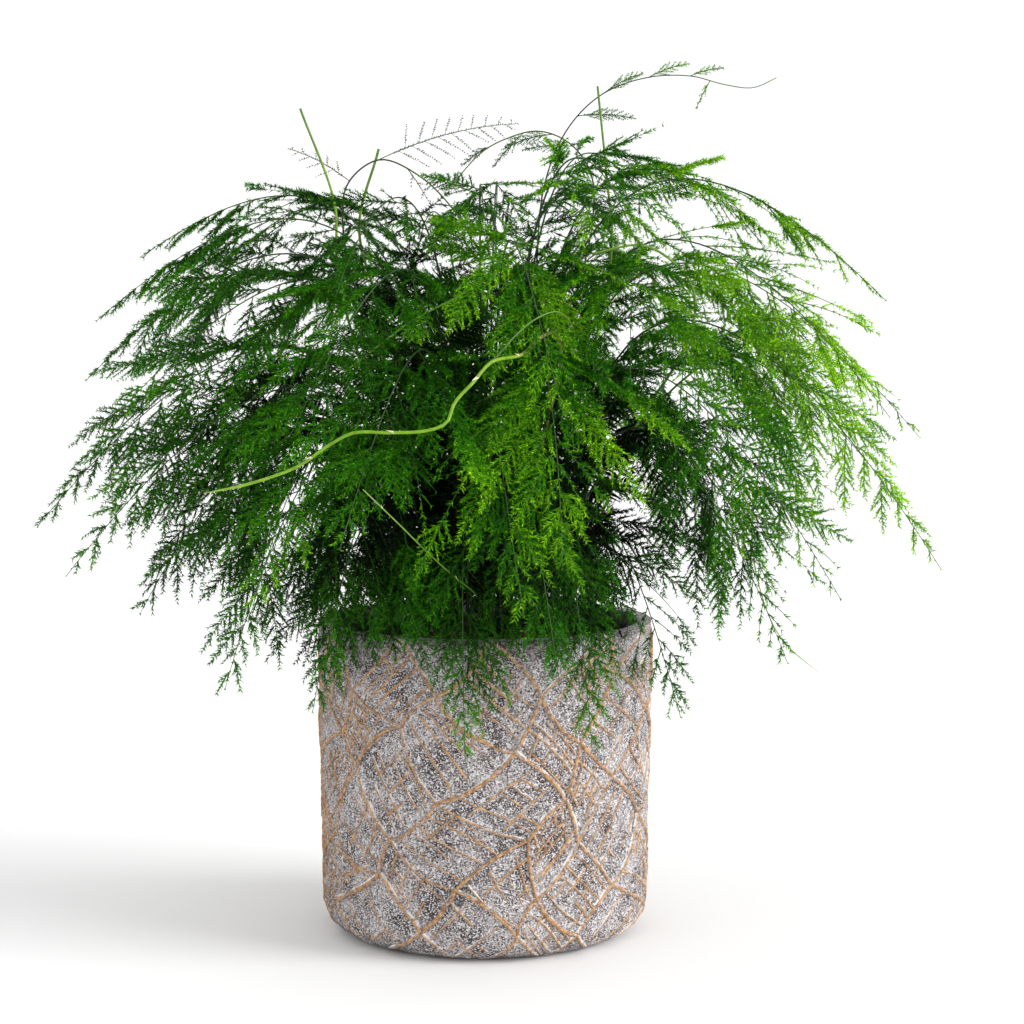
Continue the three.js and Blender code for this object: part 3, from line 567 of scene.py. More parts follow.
def needles_along(skin, rng, places, ways, sides, tapers, tone, each=NEEDLE["each"], length=NEEDLE["length"],
                  width=NEEDLE["width"]):
    """Tufts of needles round an axis, leaning along it."""
    parts = places, ways, sides, tapers, tone
    places, ways, sides, tapers, tone = (np.repeat(part, each, 0) for part in parts)
    count = len(places)
    around = rng.uniform(0, 2 * math.pi, count)
    lean = np.radians(NEEDLE["angle"] + rng.normal(0, 11, count))
    out = unit(swung(sides, NEEDLE["flat"] * np.cross(ways, sides), around))
    needle_ways = unit(swung(ways, out, lean))
    lengths = length * tapers * rng.uniform(0.72, 1.15, count)
    keep = ~in_pot(places + needle_ways * column(lengths))
    tone = np.clip(tone + rng.normal(0, 0.07, count), 0, 1)
    rolls = rng.uniform(0, 2 * math.pi, count)
    parts = (part[keep] for part in (places, needle_ways, lengths, rolls))
    needle_blades(skin, *parts, width, tone[keep])


def outness(places):
    """How far out in the bush a place lies: 0 in the middle, about 1 at the tips."""
    return np.linalg.norm((places - BUSH["middle"]) / BUSH["reach"], axis=1)


def freshness_and_painted_light(places, base):
    """How yellow-green a place is: a tone of its own, with painted light out at the tips, to the right and at
    the crown's front, and painted shade that makes it near black inside and darker in the pot's mouth.
    """
    out = outness(places)
    # Painted light from the right, stronger out at the tips.
    right = np.clip(places[:, 0] / 280, -1, 1)
    patch = CLUMP["tone"] * wave(places, 1.3 * CLUMP["size"], 72)
    top = climb(places[:, 2], 380, 90)
    # A painted pool of light on the crown's front.
    front = np.exp(-(((places - FRESHNESS_AND_PAINTED_LIGHT["middle"]) / FRESHNESS_AND_PAINTED_LIGHT["reach"]) ** 2).sum(1))
    # Painted shade in the pot's mouth.
    mouth = fall(places[:, 2], 260, 50) * fall(np.hypot(places[:, 0], places[:, 1]), 108, 15)
    # Painted light out past the bush's edge, and painted shade inside it.
    fresh = base + FRESHNESS_AND_PAINTED_LIGHT["out"] * (np.minimum(out, 1.1) - FRESHNESS_AND_PAINTED_LIGHT["edge"]) + patch
    fresh = fresh + FRESHNESS_AND_PAINTED_LIGHT["top"] * top + FRESHNESS_AND_PAINTED_LIGHT["mouth"] * mouth
    return fresh + FRESHNESS_AND_PAINTED_LIGHT["right"] * right * out + FRESHNESS_AND_PAINTED_LIGHT["front"] * front


def bareness(places):
    """How bare the twigs are at a place: 0 in a clump, 1 in a gap between clumps."""
    across = np.clip(0.5 + places[:, 0] / 500, 0, 1)
    limit = mix(CLUMP["left"], CLUMP["right"], across)
    high = mix(CLUMP["high_left"], CLUMP["high_right"], across)
    limit = limit + CLUMP["high"] * high * climb(places[:, 2], 370, 60)
    limit = limit + CLUMP["low"] * fall(places[:, 2], 250, 50)
    bare = fall(wave(places, CLUMP["size"], 71), limit, CLUMP["soft"])
    return bare * climb(outness(places), CLUMP["inside"], 0.1)


def clear_reach(feathers):
    """How much of each feather grows before it would meet the pot or the soil."""
    shares = np.linspace(0.04, 1, 24)
    reach = np.ones(len(feathers["length"]))
    owner = np.arange(len(reach))
    for share in shares[::-1]:
        blocked = in_pot(axis_point(feathers, owner, np.full(len(reach), share))[0])
        reach = np.where(blocked, share - 0.04, reach)
    return np.maximum(reach, 0.02)


def needles_on(skin, axes, reach, rng, own_tone, tapers, pitch=NEEDLE["pitch"], **more):
    """Needles along all of the axes given."""
    owner, _, share = stations(axes["length"] * reach, 0.04, 1.0, pitch)
    share = share * reach[owner]
    spots = axis_point(axes, owner, share)[0]
    seen = outness(spots) > BUSH["shade"] + rng.uniform(-0.1, 0.1, len(owner))
    seen &= rng.uniform(0, 1, len(owner)) > CLUMP["thin"] * bareness(spots)
    owner, share = owner[seen], share[seen]
    places, ways = axis_point(axes, owner, share)
    side = unit(np.cross(axes["normal"][owner], ways))
    tone = freshness_and_painted_light(places, own_tone[owner]) + 0.16 * (share - 0.4)
    needles_along(skin, rng, places, ways, side, mix(*tapers, share), tone, **more)


def make_frond(name, frond, base_tone, materials):
    """A frond's stem, feathers, fingers and needles as one piece."""
    skin = Skin("tone")
    rng = frond.rng
    feathers = frond.feathers()
    reach = clear_reach(feathers)
    own_tone = base_tone + rng.normal(0, 0.05, len(reach))
    t = np.linspace(0, 1, STEM["rings"])
    line = np.concatenate([[frond.point(0.0) - UP * (STEM_BASE - SOIL_TOP + 4)], frond.point(t)])
    radii = np.concatenate([[STEM["foot"]], mix(STEM["foot"], STEM["tip"], t**0.8)])
    tube(skin, line, radii, STEM["sides"], np.append(0, t))
    feather_cores(skin, feathers, reach)
    fingers = offshoots(feathers, reach, FINGER, rng)
    kept = rng.uniform(0, 1, len(fingers["length"])) > CLUMP["bare"] * bareness(fingers["at"])
    fingers = {part: values[kept] for part, values in fingers.items()}
    whole = np.ones(len(fingers["length"]))
    finger_tone = own_tone[fingers["owner"]] + rng.normal(0, 0.03, len(whole))
    finger_cores(skin, fingers, finger_tone)
    needles_on(skin, feathers, reach, rng, own_tone, (1, 0.75), **BRUSH)
    needles_on(skin, fingers, whole, rng, finger_tone, (1, 0.7))
    t = np.linspace(1 - STEM["whip"], 1, 12)
    at, along, side, _ = frond.frame(t)
    clear = ~in_pot(at)
    tone = freshness_and_painted_light(at, np.full(len(t), base_tone))
    tapers = mix(0.9, 0.5, np.linspace(0, 1, len(t)))
    needles_along(skin, rng, at[clear], along[clear], side[clear], tapers[clear], tone[clear])
    return skin.build(name, materials)


def sampled(at, run, places):
    """Places on a line, at some points of its run."""
    return np.stack([np.interp(at, run, places[:, axis]) for axis in range(3)], 1)


def centripetal(points, count):
    """A smooth curve through points, evenly stepped along its length."""
    points = np.asarray(points, float)
    points = np.concatenate([[2 * points[0] - points[1]], points, [2 * points[-1] - points[-2]]])
    places = []
    for p0, p1, p2, p3 in zip(points, points[1:], points[2:], points[3:]):
        d0, d1, d2 = (max(np.linalg.norm(b - a) ** 0.5, 1e-4) for a, b in ((p0, p1), (p1, p2), (p2, p3)))
        t1 = ((p1 - p0) / d0 - (p2 - p0) / (d0 + d1) + (p2 - p1) / d1) * d1
        t2 = ((p2 - p1) / d1 - (p3 - p1) / (d1 + d2) + (p3 - p2) / d2) * d1
        s = column(np.linspace(0, 1, 24, endpoint=False))
        places.append(p1 + t1 * s + (3 * (p2 - p1) - 2 * t1 - t2) * s**2 + (2 * (p1 - p2) + t1 + t2) * s**3)
    places = np.concatenate([*places, points[-2:-1]])
    run = np.append(0, np.cumsum(np.linalg.norm(np.diff(places, axis=0), axis=1)))
    return sampled(np.linspace(0, run[-1], count), run, places)


def bract(skin, place, way, size):
    """A pale, pointed scale that hugs a stem at a knot."""
    out = square_to(np.array([0.0, -0.6, 0.8]), way)
    side = np.cross(way, out)
    back = place + out * 0.55 * size + way * 0.35 * size
    tip = place + way * 2.2 * size + out * 0.9 * size
    corners = [place + side * 0.5 * size, place - side * 0.5 * size, back, tip]
    skin.add(corners, [(0, 2, 3), (2, 1, 3), (1, 0, 3), (0, 1, 2)], finish=2)


def stem_tube(skin, line, lone):
    """The stem itself along its line, with its bracts."""
    share = np.linspace(0, 1, len(line))
    radii = mix(*lone["radius"], share)
    if lone.get("point"):
        radii = radii * np.clip((1 - share) / 0.045, 0.15, 1) ** 0.7
    tube(skin, line, radii, 8, share)
    for at in lone.get("bracts", ()):
        number = round(at * (len(line) - 2))
        bract(skin, line[number], unit(line[number + 1] - line[number]), 1.9 * radii[number] + 0.5)


def leafy_shoot(skin, rng, at, length, way, rule):
    """A side shoot with twigs above and below it, all set with needles."""
    way = unit(np.asarray(way, float))
    s = np.linspace(0, 1, 14)
    shoot = at + way * column(length * s) - UP * column(0.2 * length * s * s)
    tube(skin, shoot, mix(0.3, 0.12, s), 4, np.full(len(s), 0.9))
    side = unit(np.cross(FACING, way))
    span = np.array([float(length)])
    _, step, share = stations(span, 0.12, 0.97, rule["pitch"])
    below = (step % 2 == 1) == (side[2] > 0)
    hand = np.where(step % 2 == 0, 1.0, -1.0)
    lengths = length * np.where(below, rule["below"], rule["above"]) * (1 - share) ** 0.6
    ways = unit(way * rule["along"] + side * column(hand) + rng.normal(0, 0.12, (len(share), 3)))
    twigs = {"at": sampled(share, s, shoot), "way": ways, "bend": -UP * column(np.full(len(share), 0.12)),
             "normal": unit(np.cross(ways, side)), "length": np.clip(lengths, 2, rule["most"])}
    twig_cores(skin, twigs, 0.2)
    owner, _, share = stations(twigs["length"], 0.15, 1.0, rule["step"])
    _, _, run = stations(span, 0.1, 1.0, rule["step"])
    stem = sampled(run, s, shoot), np.repeat(way[None], len(run), 0)
    for (spots, spot_ways), shares in ((axis_point(twigs, owner, share), share), (stem, run)):
        tone = freshness_and_painted_light(spots, np.full(len(spots), rule["tone"]))
        sides = unit(np.cross(spot_ways, FACING))
        needles_along(skin, rng, spots, spot_ways, sides, mix(1, 0.6, shares), tone, rule["each"],
                      rule["needle"], rule["width"])


def make_lone_stem(name, lone, seed, materials):
    """A stem that stands alone, with its shoots and bracts."""
    skin = Skin("tone")
    rng = np.random.default_rng(seed)
    line = centripetal([(*lone["foot"], STEM_BASE), *lone["course"]], 110)
    line = np.concatenate([[line[0] - UP * (STEM_BASE - SOIL_TOP + 4)], line])
    stem_tube(skin, line, lone)
    for share, length, way in lone.get("shoots", ()):
        leafy_shoot(skin, rng, line[round(share * (len(line) - 1))], length, way, TUFTS[lone["tufts"]])
    return skin.build(name, materials)


def make_young_shoots(materials):
    """The thin young shoots as one piece."""
    skin = Skin("tone")
    for shoot in YOUNG_SHOOTS:
        stem_tube(skin, centripetal(shoot["course"], 60), shoot)
    return skin.build("young_shoots", materials)


def pot_point(turn, rise, relief):
    """A place on the pot's skin, from its turn, its share of the profile and its height over the wall."""
    along = rise * PROFILE
    angle = np.minimum(along / POT["foot_round"], math.pi / 2)
    up = np.maximum(0, along - FOOT_ARC) / (PROFILE - FOOT_ARC)
    wall = POT["wall_foot"] - POT["foot_round"] * (1 - np.sin(angle)) + (POT["rim"] - POT["wall_foot"]) * up
    radius = wall + relief * np.sin(angle)
    high = POT["foot_round"] * (1 - np.cos(angle)) + up * (POT["height"] - POT["foot_round"])
    high = high - relief * np.cos(angle)
    return polar(radius, turn * 2 * math.pi, high)


def raised(rise):
    """How much of a ridge's height shows at a share of the profile: less close to the foot and the rim."""
    return np.clip(np.minimum(rise / NET["fade"] - 0.3, 3 * (1 - rise) / NET["fade"]), 0, 1)


def bowed(start, end, bow):
    """The middle of a line on the wall that bows to one side."""
    step = (end - start) * SHEET
    return (start + end) / 2 + np.array([step[1], -step[0]]) / SHEET * bow


def net_node(column_number, row):
    """A node of the net, in turns and share of the profile."""
    home = column_number % NET["columns"]
    lap = (column_number - home) / NET["columns"]
    inside = 0 < row < NET["rows"]
    turn = (home + (row % 2) / 2 + NET["shift"] * spread(home, row, 1)) / NET["columns"]
    shift = NET["shift"] * spread(home, row, 2) if inside else 0
    return np.array([turn + lap, (row + shift) / NET["rows"]])


def net_edge(start, end):
    """An edge of the net: its ends with its bowed middle between them, and whether it is a strong one."""
    a, b = net_node(*start), net_node(*end)
    key = start[1] * 7.3 + end[1] * 3.1
    home = (start[0] + end[0]) % (2 * NET["columns"])
    return (a, bowed(a, b, NET["bulge"] * spread(home, key, 3)), b), draw(home, key, 4) > NET["few"]


def ridge(skin, marks, rng, places, high, half, snow, golden, ends):
    """One ridge along a bowed line on the wall: sloped flanks, a rough crest, dust on its upper side and
    painted shade on its lower side.
    """
    start, middle, end = places
    steps = max(5, int(np.hypot(*((end - start) * SHEET)) / 2.1))
    s = np.linspace(0, 1, steps)

    def uneven(values):
        return np.interp(s, np.linspace(0, 1, len(values)), values)

    control = 2 * middle - (start + end) / 2
    line = column((1 - s) ** 2) * start + column(2 * s * (1 - s)) * control + column(s * s) * end
    way = unit(np.gradient(line * SHEET, axis=0))
    across = np.stack([-way[:, 1], way[:, 0]], 1)
    wobble = uneven(rng.normal(0, 0.25, 7)) + rng.normal(0, 0.06, steps)
    swell = uneven(rng.uniform(0.75, 1.12, 6)) + rng.normal(0, 0.04, steps)
    rise = np.interp(s, (0, 0.16, 0.84, 1), (ends[0], 1, 1, ends[1]))
    upward = 1 if across[:, 1].sum() > 0 else -1
    strokes = uneven(snow * rng.uniform(-0.6, 1.5, 9).clip(0))
    rows, crest, dust = [], [], []
    # The last column is dust where above 0, and painted shade on the lower flank where below 0.
    for place, height, gold, white in RIDGE["apron" if snow > RIDGE["plain"] else "bare"]:
        offset = place * upward * half * (0.85 + 0.15 * swell if abs(place) < 1 else 1) + wobble
        spot = line + across * column(offset) / SHEET
        spot[:, 1] = np.clip(spot[:, 1], 0.002, 0.998)
        rough = NET["high"] * high * swell * rise * height + rng.normal(0, 0.05, steps) * (height > 0)
        share = raised(spot[:, 1])
        relief = np.where(height < 0, height, rough) * np.minimum(1, share + 0.05)
        rows.append(pot_point(spot[:, 0], spot[:, 1], relief))
        crest.append(golden * gold * rise * np.minimum(1, share + 0.1))
        dust.append(white * (strokes if white > 0 else np.ones(steps)))
    low = np.arange(steps - 1)
    faces = []
    for a in range(0, (len(rows) - 1) * steps, steps):
        b = a + steps
        faces.append(np.stack([b + low, a + low, a + low + 1], 1))
        faces.append(np.stack([b + low, a + low + 1, b + low + 1], 1))
    places, faces = np.concatenate(rows), np.concatenate(faces)[:, ::upward]
    skin.add(places, faces, smooth=True, crest=np.concatenate(crest), dust=np.concatenate(dust))
    marks.append(pot_point(line[:, 0], line[:, 1], np.zeros(steps)))


def cell_ribs(skin, marks, corners, rng):
    """The fine ribs that cross one cell of the net, side by side or like a ladder."""
    low, right, high, left = corners

    def spot(s, t):
        return mix(mix(low, right, s), mix(left, high, s), t)

    stray, near, far = RIB["stray"], RIB["margin"], 1 - RIB["margin"]
    main = rng.integers(0, 2)
    lines = rng.integers(2, 6)
    for hand, count in ((main, lines), (1 - main, rng.integers(2, 6))):
        for k in range(count):
            place = (k + 1 + rng.uniform(-0.2, 0.2)) / (count + 1)
            start, end = near, far
            if hand != main:
                first = rng.integers(0, lines)
                start, end = (edge / (lines + 1) for edge in (first, rng.integers(first + 1, lines + 2)))
            elif rng.uniform() < 0.25:
                if rng.uniform() < 0.5:
                    end = rng.uniform(0.4, 0.8)
                else:
                    start = rng.uniform(0.2, 0.6)
            ends = [(place, start), (place + rng.uniform(-stray, stray), end)]
            a, b = (spot(s, t) if hand else spot(t, s) for s, t in ends)
            places = (a, bowed(a, b, rng.uniform(-stray, stray)), b)
            height, half = rng.uniform(*RIB["high"]), rng.uniform(*RIB["half"])
            snow = rng.uniform(0, 0.8) + 0.5 * (rng.uniform() < 0.3)
            ridge(skin, marks, rng, places, height, half, snow, rng.uniform(*RIB["golden"]),
                  rng.uniform(*RIB["ends"], 2))


def pot_ridges(skin, marks, rng):
    """All edges of the net and the ribs in its cells, with the more dust on them the lower they lie."""
    for number in range(NET["columns"]):
        for row in range(NET["rows"]):
            above = number + row % 2
            for top in (above, above - 1):
                places, strong = net_edge((number, row), (top, row + 1))
                size = 1.0 if strong else NET["weak"]
                snow = rng.uniform(0, 1.0) + 0.5 * (1 - (places[0][1] + places[2][1]) / 2)
                high, half = rng.uniform(*EDGE["high"]) * size, rng.uniform(*EDGE["half"]) * size
                ridge(skin, marks, rng, places, high, half, snow, rng.uniform(*EDGE["golden"]),
                      rng.uniform(*EDGE["ends"], 2))
        for row in range(1, NET["rows"]):
            middle = number + row % 2
            corners = [(middle, row - 1), (number + 1, row), (middle, row + 1), (number, row)]
            cell_ribs(skin, marks, [net_node(*corner) for corner in corners], rng)


def make_pot(material):
    """The pot's wall, foot, rim and inside, with the ridges on it, as one piece."""
    skin = Skin("crest", "dust", "damp")
    marks = []
    pot_ridges(skin, marks, np.random.default_rng(31))
    marks = np.concatenate(marks)
    tree = KDTree(len(marks))
    for number, mark in enumerate(marks):
        tree.insert(mark, number)
    tree.balance()
    around = int(GIRTH / WALL_CELL)
    turns = np.arange(around) / around
    turn, rise = np.meshgrid(turns, np.linspace(0, 1, int(PROFILE / WALL_CELL)))
    flat = pot_point(turn, rise, np.zeros(turn.shape))
    high = flat[..., 2]
    relief = 0.35 * wave(flat, 34, 3) + 0.18 * wave(flat, 9, 4)
    wall = pot_point(turn, rise, relief * np.clip(np.minimum(rise / 0.06, (1 - rise) / 0.03), 0, 1))
    found = [tree.find(place) for place in flat.reshape(-1, 3)]
    near = np.array([distance for _, _, distance in found]).reshape(turn.shape)
    over = (high - np.array([spot[2] for spot, _, _ in found]).reshape(turn.shape)) / np.maximum(near, 0.5)
    # Near a ridge, dust on the wall above it and painted shade on the wall below it.
    dust = np.clip(1 - near / 6, 0, 1) * np.clip(0.2 + 0.5 * wave(flat, 16, 5), 0, 0.6) * over
    # Painted shadow of the overhanging foliage, in patches below the rim, and patches darker at the foot;
    # both are taken off the dust value.
    rim_shadow_and_dark_foot = climb(high, 145, 38) * np.clip(0.55 + 0.7 * wave(flat, 44, 8), 0, 1)
    rim_shadow_and_dark_foot = np.maximum(rim_shadow_and_dark_foot, fall(high, 12, 10) * np.clip(0.5 + 0.6 * wave(flat, 40, 9), 0, 1))
    dust = (dust - 1.15 * rim_shadow_and_dark_foot).ravel()
    foot = pot_point(turns, np.zeros(around), np.zeros(around)) * [POT["flat"], POT["flat"], 1]
    mouth = [polar(out, turns * 2 * math.pi, POT["height"] - drop) for out, drop in MOUTH]
    mouth = [ring + UP * column(0.12 * wave(ring, 14, 6)) for ring in mouth]
    places = np.concatenate([foot, *wall, *mouth, [[0, 0, 0]]])
    damp = np.repeat(np.interp([drop for _, drop in MOUTH], *MOUTH_SHADE), around)
    faces = [ring_faces(1 + len(wall) + len(mouth), around), fan(len(places) - 1, np.arange(around)[::-1])]
    skin.add(places, np.concatenate(faces), smooth=True,
             dust=np.concatenate([np.zeros(around), dust, np.full(len(damp), 0.3), [0]]),
             damp=np.concatenate([np.zeros(around + len(dust)), damp, [0]]))
    return skin.build("pot_wall", [material])


def soil_height(out):
    return SOIL_TOP + SOIL_CROWN * (1 - (out / POT["inside"]) ** 2)


def make_soil(materials):
    """Crumbly soil with bark chips lying on it."""
    skin = Skin("tone")
    rng = np.random.default_rng(57)
    around, rings = 120, 26
    turns = np.arange(around) / around * 2 * math.pi
    places = [[[0.0, 0.0, SOIL_TOP + SOIL_CROWN]]]
    for out in np.linspace(0, 1, rings)[1:] * (POT["inside"] - 0.4):
        ring = polar(out, turns, 0.0)
        ring[:, 2] = soil_height(out) + 1.1 * wave(ring, 16, 8) + 0.7 * rng.normal(0, 0.6, around)
        places.append(ring)
    faces = [fan(0, 1 + np.arange(around)), 1 + ring_faces(rings - 1, around)[:, ::-1]]
    skin.add(np.concatenate(places), np.concatenate(faces))
    block = np.array([(x, y, z) for x in (-1, 1) for y in (-1, 1) for z in (-1, 1)], float)
    for _ in range(CHIPS["count"]):
        out, turn = CHIPS["out"] * math.sqrt(rng.uniform()), rng.uniform(0, 2 * math.pi)
        size = rng.uniform(CHIPS["least"], CHIPS["most"])
        chip = block * size * rng.uniform(0.6, 1.15, (8, 3))
        lean, spin = rng.normal(0, 0.3), rng.uniform(0, 2 * math.pi)
        chip = turned(chip, UP, spin)
        chip[:, 2] = block[:, 2] * size[2] + lean * chip[:, 0]
        place = polar(out, turn, soil_height(out) + CHIPS["lift"])
        skin.add(chip + place, BOX, finish=1, tone=rng.uniform())
    return skin.build("soil_surface", materials)


def add_node(tree, kind, inputs, **settings):
    """The outputs of a new shader node, whose inputs are values or outputs of other nodes."""
    node = tree.nodes.new(kind)
    for name, value in settings.items():
        setattr(node, name, value)
    for label, value in inputs.items():
        if isinstance(value, bpy.types.NodeSocket):
            tree.links.new(value, node.inputs[label])
        else:
            node.inputs[label].default_value = value
    return node.outputs


def node_group(name, inputs, outputs):
    """A new group: its tree, what it is given, and the inputs of what it hands on."""
    tree = bpy.data.node_groups.new(name, "ShaderNodeTree")
    for label, value in inputs.items():
        kind = "NodeSocketColor" if isinstance(value, tuple) else "NodeSocketFloat"
        tree.interface.new_socket(label, in_out="INPUT", socket_type=kind).default_value = value
    for label, kind in outputs.items():
        tree.interface.new_socket(label, in_out="OUTPUT", socket_type=kind)
    return tree, tree.nodes.new("NodeGroupInput").outputs, tree.nodes.new("NodeGroupOutput").inputs


def mottle_group():
    """Two colours in soft-edged patches, and the mask of the second."""
    tree, given, result = node_group("mottle", {
        "First": (0, 0, 0, 1), "Second": (1, 1, 1, 1), "Scale": 10.0, "Softness": 0.1, "Level": 0.5,
        "Offset": 0.0,
    }, {"Color": "NodeSocketColor", "Mask": "NodeSocketFloat"})
    place = add_node(tree, "ShaderNodeTexCoord", {})["Object"]
    shifted = add_node(tree, "ShaderNodeVectorMath", {0: place, 1: given["Offset"]}, operation="ADD")[0]
    noise = add_node(tree, "ShaderNodeTexNoise",
                     {"Vector": shifted, "Scale": given["Scale"], "Detail": 3})["Fac"]
    span = {0: given["Level"], 1: given["Softness"]}
    low, high = (add_node(tree, "ShaderNodeMath", span, operation=kind)[0] for kind in ("SUBTRACT", "ADD"))
    mask = add_node(tree, "ShaderNodeMapRange", {"Value": noise, "From Min": low, "From Max": high})["Result"]
    colour = add_node(tree, "ShaderNodeMix", {"Factor": mask, "A": given["First"], "B": given["Second"]},
                      data_type="RGBA")["Result"]
    tree.links.new(colour, result["Color"])
    tree.links.new(mask, result["Mask"])
    return tree


def grain_group():
    """The height of a rough surface, coarse and fine."""
    tree, given, result = node_group("grain", {"Scale": 400.0}, {"Height": "NodeSocketFloat"})
    place = add_node(tree, "ShaderNodeTexCoord", {})["Object"]
    noise = add_node(tree, "ShaderNodeTexNoise",
                     {"Vector": place, "Scale": given["Scale"], "Detail": 5, "Roughness": 0.65})
    tree.links.new(noise["Fac"], result["Height"])
    return tree


class Finish:
    """A material with one Principled shader, and the steps that feed it."""

    def __init__(self, groups, name, roughness, specular):
        self.mottle_tree, self.grain_tree = groups
        self.material = bpy.data.materials.new(name)
        self.material.use_nodes = True
        self.tree = self.material.node_tree
        self.shader = self.tree.nodes["Principled BSDF"].inputs
        self.shader["Roughness"].default_value = roughness
        self.shader["Specular IOR Level"].default_value = specular

    def mottle(self, scale, softness=0.1, first=(0, 0, 0, 1), second=(1, 1, 1, 1), level=0.5, offset=0.0):
        inputs = {"First": first, "Second": second, "Scale": scale, "Softness": softness, "Level": level,
                  "Offset": offset}
        return add_node(self.tree, "ShaderNodeGroup", inputs, node_tree=self.mottle_tree)

    def value(self, name):
        return add_node(self.tree, "ShaderNodeAttribute", {}, attribute_name=name)["Fac"]

    def times(self, first, second, clamped=False):
        return add_node(self.tree, "ShaderNodeMath", {0: first, 1: second}, operation="MULTIPLY",
                        use_clamp=clamped)[0]

    def blend(self, mask, first, second, mode="MIX"):
        inputs = {"Factor": mask, "A": first, "B": second}
        return add_node(self.tree, "ShaderNodeMix", inputs, data_type="RGBA", blend_type=mode)["Result"]

    def patched(self, colour, *looks, **more):
        """A colour that mottled patches make darker or lighter."""
        return self.blend(1.0, colour, self.mottle(*looks, **more)["Color"], "MULTIPLY")

    def ramp(self, stops):
        """The colour along a run of colours, by the tone of the mesh."""
        node = self.tree.nodes.new("ShaderNodeValToRGB")
        band = node.color_ramp
        while len(band.elements) < len(stops):
            band.elements.new(0.5)
        for element, (place, colour) in zip(band.elements, stops):
            element.position = place
            element.color = shade(*colour)
        self.tree.links.new(self.value("tone"), node.inputs["Fac"])
        return node.outputs["Color"]

    def bump(self, scale, distance):
        height = add_node(self.tree, "ShaderNodeGroup", {"Scale": scale}, node_tree=self.grain_tree)["Height"]
        inputs = {"Height": height, "Distance": distance, "Strength": 1.0}
        bumps = add_node(self.tree, "ShaderNodeBump", inputs)
        self.tree.links.new(bumps["Normal"], self.shader["Normal"])

    def done(self, colour):
        self.tree.links.new(colour, self.shader["Base Color"])
        return self.material


def needle_finish(groups):
    """Waxy green needles, from deep green to yellow-green, with painted glints of light on some of them."""
    finish = Finish(groups, "fern_needles", 0.55, 0.12)
    colour = finish.patched(finish.ramp(NEEDLE_SKIN), 38.0, 0.14, (0.6, 0.7, 0.6, 1), (1.2, 1.12, 1.0, 1))
    # Painted glints: tiny specks made much lighter, as highlights on the needles.
    painted_glints = (0.86, 0.88, 0.8, 1), (2.9, 2.2, 4.2, 1)
    return finish.done(finish.patched(colour, 640.0, 0.05, *painted_glints, 0.61, 9.0))


def stem_finish(groups, name, stops):
    """A smooth stem that changes colour from its foot to its tip."""
    finish = Finish(groups, name, 0.42, 0.4)
    patches = (0.72, 0.72, 0.7, 1), (1.1, 1.1, 1.1, 1)
    return finish.done(finish.patched(finish.ramp(stops), 240.0, 0.18, *patches))


def mottled_finish(groups, name, roughness, specular, *looks):
    """A plain material in two colours."""
    finish = Finish(groups, name, roughness, specular)
    return finish, finish.done(finish.mottle(*looks)["Color"])


def cement_finish(groups):
    """Grey cement with dark, pale and frosty grit, tan ridges, limewash dust above them and painted shade
    below them, a painted shadow under the rim, a darker foot, and painted shade deep in the mouth.
    """
    finish = Finish(groups, "limewashed_cement", 0.88, 0.2)
    colour = finish.mottle(60.0, 0.11, shade(84, 74, 74), shade(178, 170, 169))["Color"]
    for scale, level, offset, share, grit in ((1000.0, 0.53, 0.0, 1.0, shade(50, 42, 43)),
                                              (1150.0, 0.56, 3.0, 1.0, shade(230, 227, 228)),
                                              (400.0, 0.63, 7.0, 0.7, shade(236, 235, 240))):
        mask = finish.mottle(scale, 0.05, level=level, offset=offset)["Mask"]
        colour = finish.blend(finish.times(mask, share), colour, grit)
    # Below 0 the dust value paints dark brown: painted shade below the ridges, a painted shadow under the rim
    # and the darker foot. Above 0 it paints limewash dust.
    side = finish.value("dust")
    patch = finish.mottle(300.0, 0.14, first=(0.2, 0.2, 0.2, 1), offset=1.0)["Color"]
    for strength, dust in ((-0.8, shade(62, 50, 46)), (1.1, shade(244, 242, 242))):
        colour = finish.blend(finish.times(finish.times(side, strength), patch, clamped=True), colour, dust)
    worn = finish.mottle(420.0, 0.2, level=0.47, offset=5.0)["Mask"]
    tan = finish.mottle(420.0, 0.16, shade(146, 104, 70), shade(224, 178, 126))["Color"]
    crest = finish.times(finish.value("crest"), worn)
    colour = finish.blend(finish.times(crest, 2.0, clamped=True), colour, tan)
    finish.bump(800.0, 0.0009)
    # Painted shade deep in the pot's mouth, mixed in as near black.
    return finish.done(finish.blend(finish.value("damp"), colour, shade(16, 15, 11)))


def soil_finish(groups):
    finish, material = mottled_finish(groups, "dark_potting_soil", 0.95, 0.15, 320.0, 0.15, shade(28, 20, 14),
                                      shade(66, 48, 34))
    finish.bump(500.0, 0.0012)
    return material


def bark_finish(groups):
    finish = Finish(groups, "bark_chips", 0.85, 0.2)
    finish.bump(900.0, 0.0005)
    colour = finish.ramp(((0.0, (52, 34, 22)), (1.0, (122, 88, 58))))
    return finish.done(finish.patched(colour, 700.0, 0.15, (0.6, 0.6, 0.6, 1), (1.1, 1.1, 1.1, 1)))


def make_floor(groups):
    """A plain pale floor, far wider than the view."""
    _, material = mottled_finish(groups, "pale_floor", 0.9, 0.1, 2.0, 0.2, (0.94, 0.94, 0.94, 1),
                                 (0.96, 0.96, 0.96, 1))
    skin = Skin()
    wide, low = FLOOR["wide"], -FLOOR["below"]
    corners = [(-wide, -wide, low), (wide, -wide, low), (wide, wide, low), (-wide, wide, low)]
    skin.add(corners, [(0, 1, 2), (0, 2, 3)])
    skin.build("floor", [material])


def make_camera():
    """The photograph's view: nearly level, from the front."""
    data = bpy.data.cameras.new("camera")
    data.sensor_width = CAMERA["sensor"]
    data.lens = CAMERA["lens"]
    data.clip_end = CAMERA["far"]
    camera = linked("camera", data)
    camera.location = CAMERA["place"]
    camera.rotation_euler = (math.radians(90 - CAMERA["down"]), 0, 0)
    bpy.context.scene.camera = camera


